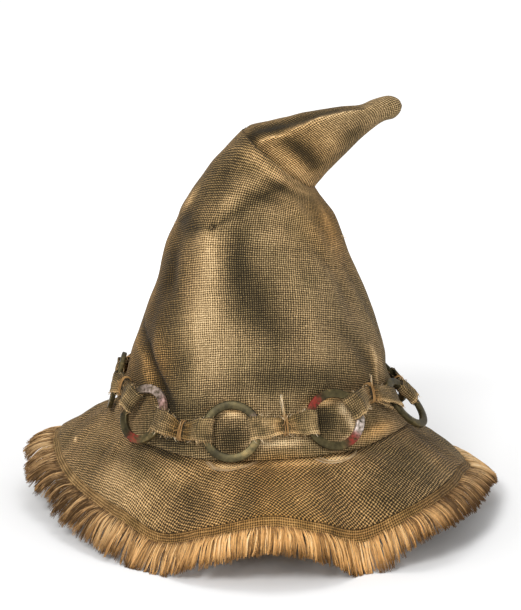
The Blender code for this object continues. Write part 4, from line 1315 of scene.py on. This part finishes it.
def ring_mesh(number, centre, out):
    """A flat bar with rounded corners, turned through a circle and slightly uneven."""
    half = RING_THICKNESS / 2.0
    bm = bmesh.new()
    corners = [
        bm.verts.new((reach, 0.0, height))
        for reach, height in ((RING_INNER, -half), (RING_OUTER, -half), (RING_OUTER, half),
                              (RING_INNER, half))
    ]
    bm.faces.new(corners)
    bmesh.ops.bevel(bm, geom=corners, offset=0.75, segments=2, profile=0.5, affect="VERTICES",
                    material=-1)
    edges = bm.edges[:]
    bmesh.ops.delete(bm, geom=bm.faces[:], context="FACES_ONLY")
    bmesh.ops.spin(bm, geom=bm.verts[:] + edges, axis=(0, 0, 1), cent=(0, 0, 0), angle=math.tau,
                   steps=96, use_merge=True)
    bmesh.ops.remove_doubles(bm, verts=bm.verts, dist=0.001)
    turns = np.array([math.degrees(math.atan2(vert.co.y, vert.co.x)) for vert in bm.verts])
    for column in ("paint", "painted_glint"):
        layer = bm.verts.layers.float.new(column)
        for vert, amount in zip(bm.verts, ring_spots(number, turns, column)):
            vert[layer] = amount
    side = unit(np.cross(UP, out))
    rise = np.cross(out, side)
    for vert in bm.verts:
        dull = noise.noise(vert.co / 7.0 + Vector(((number - 1) * 9.0, 0.0, 0.0))) * 0.12
        spot = np.array(vert.co)
        spot = spot + unit(spot * (1.0, 1.0, 0.0)) * dull
        vert.co = to_scene(centre + side * spot[0] + rise * spot[1] + out * spot[2])
    bmesh.ops.recalc_face_normals(bm, faces=bm.faces)
    mesh = bpy.data.meshes.new("metal_ring")
    bm.to_mesh(mesh)
    bm.free()
    return mesh


def make_rings(places):
    """The band's metal rings, each where its solid is."""
    finish = metal_material()
    for number, (centre, out) in enumerate(places, start=1):
        new_object(f"metal_ring_{number}", ring_mesh(number, centre, out), finish,
                   f"ring_{number}")


# The links' cloth: its width is twice the half height. It keeps a gap to the ring's bar, and its
# tie squeezes it to the waist's half height and half depth. Warmth and tone are for each link.
LINK_HALF_HEIGHT = 7.8
LINK_CLOTH = 1.0
LINK_GAP = 0.45
WAIST_HALF_HEIGHT = 5.3
WAIST_HALF_DEPTH = 1.45
LINK_COLUMNS = 132
LINK_ROWS = 18
LINK_WARMTH = (0.5, 0.8, 0.35, 0.6, 0.4, 0.5, 0.6, 0.4, 0.5)
LINK_TONES = (-0.6, -0.5, -0.38, -0.3, -0.3, -0.4, -0.2, -0.5, -0.3)


def ring_turn(place, waist, height, first):
    """The link's cloth where it folds round one ring's bar, at a height in the ring: points from
    the front of the bar through the hole to its back, or the other way round for the second."""
    centre, out = place
    toward = waist[0] - centre
    toward = unit(toward - out * np.dot(toward, out))
    rise = facing(np.cross(out, toward), UP)
    inner = math.sqrt(RING_INNER**2 - height**2)
    straight = math.sqrt(RING_INNER**2 - LINK_HALF_HEIGHT**2)
    outer = math.sqrt(RING_OUTER**2 - height**2)
    far = RING_THICKNESS / 2.0 + LINK_GAP + LINK_CLOTH / 2.0
    fold = 0.35 * inner + 0.65 * straight - 0.9
    middle = fold + 0.75 * far
    spots = [(outer + 2.4, far * 0.92), (outer - 0.4, far), ((middle + outer) / 2.0, far)]
    for step in range(7):
        angle = math.pi * step / 6.0
        spots.append((middle - 0.75 * far * math.sin(angle), far * math.cos(angle)))
    spots += [((middle + outer) / 2.0, -far), (outer - 0.4, -far), (outer + 2.4, -far * 0.92)]
    points = [centre + toward * along + out * offset + rise * height for along, offset in spots]
    return points if first else points[::-1]


def link_paths(index, rings, waists):
    """The closed path of a link's cloth at each of its rows, from the bottom edge to the top."""
    start = rings[index]
    end = rings[(index + 1) % RING_COUNT]
    waist = waists[index]
    centre, _, out, up = waist
    rows = []
    for row in range(LINK_ROWS + 1):
        level = -1.0 + 2.0 * row / LINK_ROWS
        height = level * LINK_HALF_HEIGHT
        ends = (ring_turn(end, waist, height, True), ring_turn(start, waist, height, False))
        middle = centre + up * (level * WAIST_HALF_HEIGHT)
        depth = out * (WAIST_HALF_DEPTH + 0.375 * math.sin(level * 7.5 + index))
        rows.append(np.array(ends[0] + [middle - depth] + ends[1] + [middle + depth]))
    return rows


def resample(points, count):
    """Evenly spaced points on the smooth closed curve through some points."""
    fine = 8
    total = len(points)
    spots = []
    for i in range(total):
        near = [points[(i + step) % total] for step in (-1, 0, 1, 2)]
        for step in range(fine):
            spots.append(catmull_rom(*near, step / fine))
    spots.append(spots[0])
    spots = np.array(spots)
    lengths = np.append(0.0, np.cumsum(np.linalg.norm(np.diff(spots, axis=0), axis=1)))
    places = np.linspace(0.0, lengths[-1], count + 1)
    even = [np.interp(places, lengths, spots[:, axis]) for axis in range(3)]
    return np.stack(even, axis=-1), lengths[-1]


def link_shape(index, net, length, waist):
    """The shape of one link's cloth over its net of evened paths, for cloth_mesh. It is pleated
    and gathered beside its tied waist, soft elsewhere, and ragged at its cut edges."""
    centre, tangent, _, up = waist

    def shape(across, along):
        column = np.rint(across * LINK_COLUMNS).astype(int)
        row = np.rint(along * LINK_ROWS).astype(int)
        points = net[row, column]
        normal = unit(np.cross(np.gradient(net, axis=1), np.gradient(net, axis=0)))[row, column]
        from_waist = np.abs((points - centre) @ tangent)
        gather = np.exp(-(((from_waist - 4.0) / 5.0) ** 2)) * (from_waist > 2.2)
        free = np.clip((from_waist - 3.0) / 4.0, 0.0, 1.0)
        level = along * 2.0 - 1.0
        pleats = np.sin(level * 8.5 + index * 1.7) * 0.75 * gather
        creases = smooth_noise(points, 6.0, 30.0 + index) * 0.7
        points = points + normal * (pleats + creases * free)[:, None]
        ragged = smooth_noise(points * (1.0, 1.0, 0.2), 5.0, 60.0 + index) * 1.1
        ragged = ragged * np.abs(level) ** 3
        points = points + up * (ragged * free * np.sign(level))[:, None]
        cuts = np.stack((across * length, along * 2.0 * LINK_HALF_HEIGHT), axis=-1)
        cuts = cuts + (index * 40.0, index * 40.0)
        # Darker at the tied waist: painted shade in the gathered folds there.
        tone = LINK_TONES[index] - 0.6 * np.exp(-((from_waist / 4.0) ** 2)) + 0.1 * gather
        tone = tone + 0.7 * np.exp(-(((level + 1.0) / 0.25) ** 2)) - 0.5 * (level > 0.9)
        tone = tone + smooth_noise(points, 9.0, 80.0 + index) * 0.5
        warm = np.clip(0.05 + LINK_WARMTH[index] * gather, 0.0, 1.0)
        return points, cuts, {"tone": tone, "warm": warm}

    return shape


def make_links(rings, waists):
    """The band's cloths, each folded round two rings and tied at its waist."""
    finish = burlap_material("band_burlap", BURLAP_STOPS, pitch=BAND_PITCH, width=0.33,
                             wobble=0.15, uneven=0.4, hole=(0.03, 0.02, 0.01), depth=0.5)
    links = []
    for index in range(RING_COUNT):
        evened = [resample(row, LINK_COLUMNS) for row in link_paths(index, rings, waists)]
        net = np.array([points for points, _ in evened])
        length = sum(whole for _, whole in evened) / len(evened)
        shape = link_shape(index, net, length, waists[index])
        link = make_cloth(f"band_cloth_{index + 1}", (LINK_COLUMNS, LINK_ROWS), shape, finish,
                          LINK_CLOTH, f"band_link_{index + 1}", offset=0.0)
        links.append((link, length, net))
    return links


TIE_TURNS = 5.25
TIE_POINTS = 90
TIE_THREAD = 0.3


def winding_path(index, waist):
    """The thread wound round one waist, a rounded oval that wanders a little."""
    centre, tangent, out, up = waist
    path = []
    for step in range(TIE_POINTS):
        share = step / (TIE_POINTS - 1)
        turn = math.tau * TIE_TURNS * share + 0.7
        reach = 1.0 + 0.03 * math.sin(turn * 2.3 + index)
        sine, cosine = math.sin(turn), math.cos(turn)
        tall = math.copysign(abs(sine) ** 0.75, sine) * 6.75 * reach
        wide = math.copysign(abs(cosine) ** 0.75, cosine) * 3.5 * reach
        place = (share - 0.5) * 2.9 + 0.5 * math.sin(turn * 0.7 + index)
        path.append(centre + tangent * place + up * tall + out * wide)
    return path


def tail_path(rng, waist, sign):
    """One long end of a tie's thread, on the side that sign gives."""
    centre, tangent, out, up = waist
    length = rng.uniform(3.0, 6.5)
    drop = rng.uniform(-1.0, 0.4)
    swing_out = rng.uniform(-0.5, 0.5)
    root = centre + out * 3.9 + tangent * (sign * 1.0) + up * rng.uniform(-1.0, 2.0)
    path = []
    for step in range(TIE_POINTS):
        share = step / (TIE_POINTS - 1)
        aside = sign * length * 0.6 * share + swing_out * share**2 * 2.0
        spot = root + out * (0.9 * math.sin(share * 2.2)) * 1.6
        path.append(spot + up * (drop * length * share) + tangent * aside)
    return path


def make_ties(waists):
    """Each tie: a thread wound round the waist, with its two ends left long."""
    rng = random.Random(8)
    finish = strand_material("tie_jute", TIE_STOPS)
    for index, waist in enumerate(waists):
        tails = [tail_path(rng, waist, sign) for sign in (-1.0, 1.0)]
        paths = np.array([winding_path(index, waist)] + tails)
        radii = np.full(paths.shape[:2], TIE_THREAD)
        radii[1:] *= 0.75
        marks = {"shade": np.full(paths.shape[:2], 0.48), "warm": np.full(paths.shape[:2], 0.3)}
        new_object(f"tie_thread_{index + 1}", tube_bundle(paths, radii, 6, marks), finish,
                   f"band_tie_{index + 1}")


# The camera stands where the photograph was taken from.
VIEW_ELEVATION = 14.0
VIEW_DISTANCE = 1600.0
VIEW_TARGET = (1.05, -0.8, 146.6)
VIEW_LENS = 134.9
FLOOR_SIZE = 12.0
AIR_LIGHT = 0.5
FLOOR_GLOW = 0.6

# Soft lamps: where each stands, its width and its power in watts.
LAMP_COLUMNS = ("name", "x", "y", "z", "width", "power")
LAMPS = (
    ("key", -520.0, -1450.0, 1250.0, 600.0, 22.0),
    ("fill", 1300.0, -1200.0, 300.0, 900.0, 3.0),
    ("top", 0.0, 300.0, 1700.0, 1000.0, 7.0),
)


def make_floor():
    """A pale floor, which glows more the further it is from the hat, so that it fades to white."""
    mesh = bpy.data.meshes.new("floor")
    bm = bmesh.new()
    bmesh.ops.create_grid(bm, x_segments=1, y_segments=1, size=FLOOR_SIZE)
    bm.to_mesh(mesh)
    bm.free()
    finish, tree, shader = new_material("pale_floor", 0.9)
    shader.inputs["Base Color"].default_value = (0.9, 0.9, 0.9, 1.0)
    shader.inputs["Emission Color"].default_value = (1.0, 1.0, 1.0, 1.0)
    where = add_node(tree, "ShaderNodeTexCoord").outputs["Object"]
    away = add_node(tree, "ShaderNodeVectorMath", {0: where}, operation="LENGTH").outputs["Value"]
    glow = maths(tree, "MULTIPLY_ADD", away, FLOOR_GLOW / 0.7, -0.1 * FLOOR_GLOW / 0.7)
    glow = maths(tree, "MINIMUM", maths(tree, "MAXIMUM", glow, 0.0), FLOOR_GLOW)
    tree.links.new(glow, shader.inputs["Emission Strength"])
    mesh.materials.append(finish)
    floor = bpy.data.objects.new("floor", mesh)
    bpy.context.scene.collection.objects.link(floor)


def make_air():
    """Soft white light from all round, dimmer on the hat than what shows behind it."""
    world = bpy.data.worlds.new("studio")
    world.use_nodes = True
    tree = world.node_tree
    air = tree.nodes["Background"]
    air.inputs["Color"].default_value = (1.0, 1.0, 1.0, 1.0)
    seen = add_node(tree, "ShaderNodeLightPath").outputs["Is Camera Ray"]
    glow = maths(tree, "MULTIPLY_ADD", seen, 1.0 - AIR_LIGHT, AIR_LIGHT)
    tree.links.new(glow, air.inputs["Strength"])
    bpy.context.scene.world = world
    bpy.context.scene.view_settings.view_transform = "Standard"


def make_lamps(target):
    """Three round soft lamps, turned towards the hat."""
    for lamp in named_rows(LAMP_COLUMNS, LAMPS):
        data = bpy.data.lights.new(lamp["name"], "AREA")
        data.shape = "DISK"
        data.size = lamp["width"] * MM
        data.energy = lamp["power"]
        placed = bpy.data.objects.new(lamp["name"], data)
        placed.location = Vector((lamp["x"], lamp["y"], lamp["z"])) * MM
        placed.rotation_euler = (target - placed.location).to_track_quat("-Z", "Y").to_euler()
        bpy.context.scene.collection.objects.link(placed)


def make_camera(target):
    """The camera, at the height and distance that the photograph was taken from."""
    data = bpy.data.cameras.new("camera")
    data.lens = VIEW_LENS
    data.sensor_width = 36.0
    data.clip_end = 50.0
    camera = bpy.data.objects.new("camera", data)
    rise = math.radians(VIEW_ELEVATION)
    back = Vector((0.0, -math.cos(rise), math.sin(rise)))
    camera.location = target + back * (VIEW_DISTANCE * MM)
    camera.rotation_euler = (-back).to_track_quat("-Z", "Y").to_euler()
    bpy.context.scene.collection.objects.link(camera)
    bpy.context.scene.camera = camera


def main():
    """The stage and the hat's pieces."""
    target = Vector(VIEW_TARGET) * MM
    make_floor()
    make_air()
    make_lamps(target)
    make_camera(target)
    crown = make_crown()
    brim = make_brim()
    strip = make_strip()
    fringe = make_fringe()
    rings = ring_places()
    waists = waist_places()
    make_rings(rings)
    links = make_links(rings, waists)
    make_ties(waists)
    make_loose([net for _, _, net in links], waists)


main()
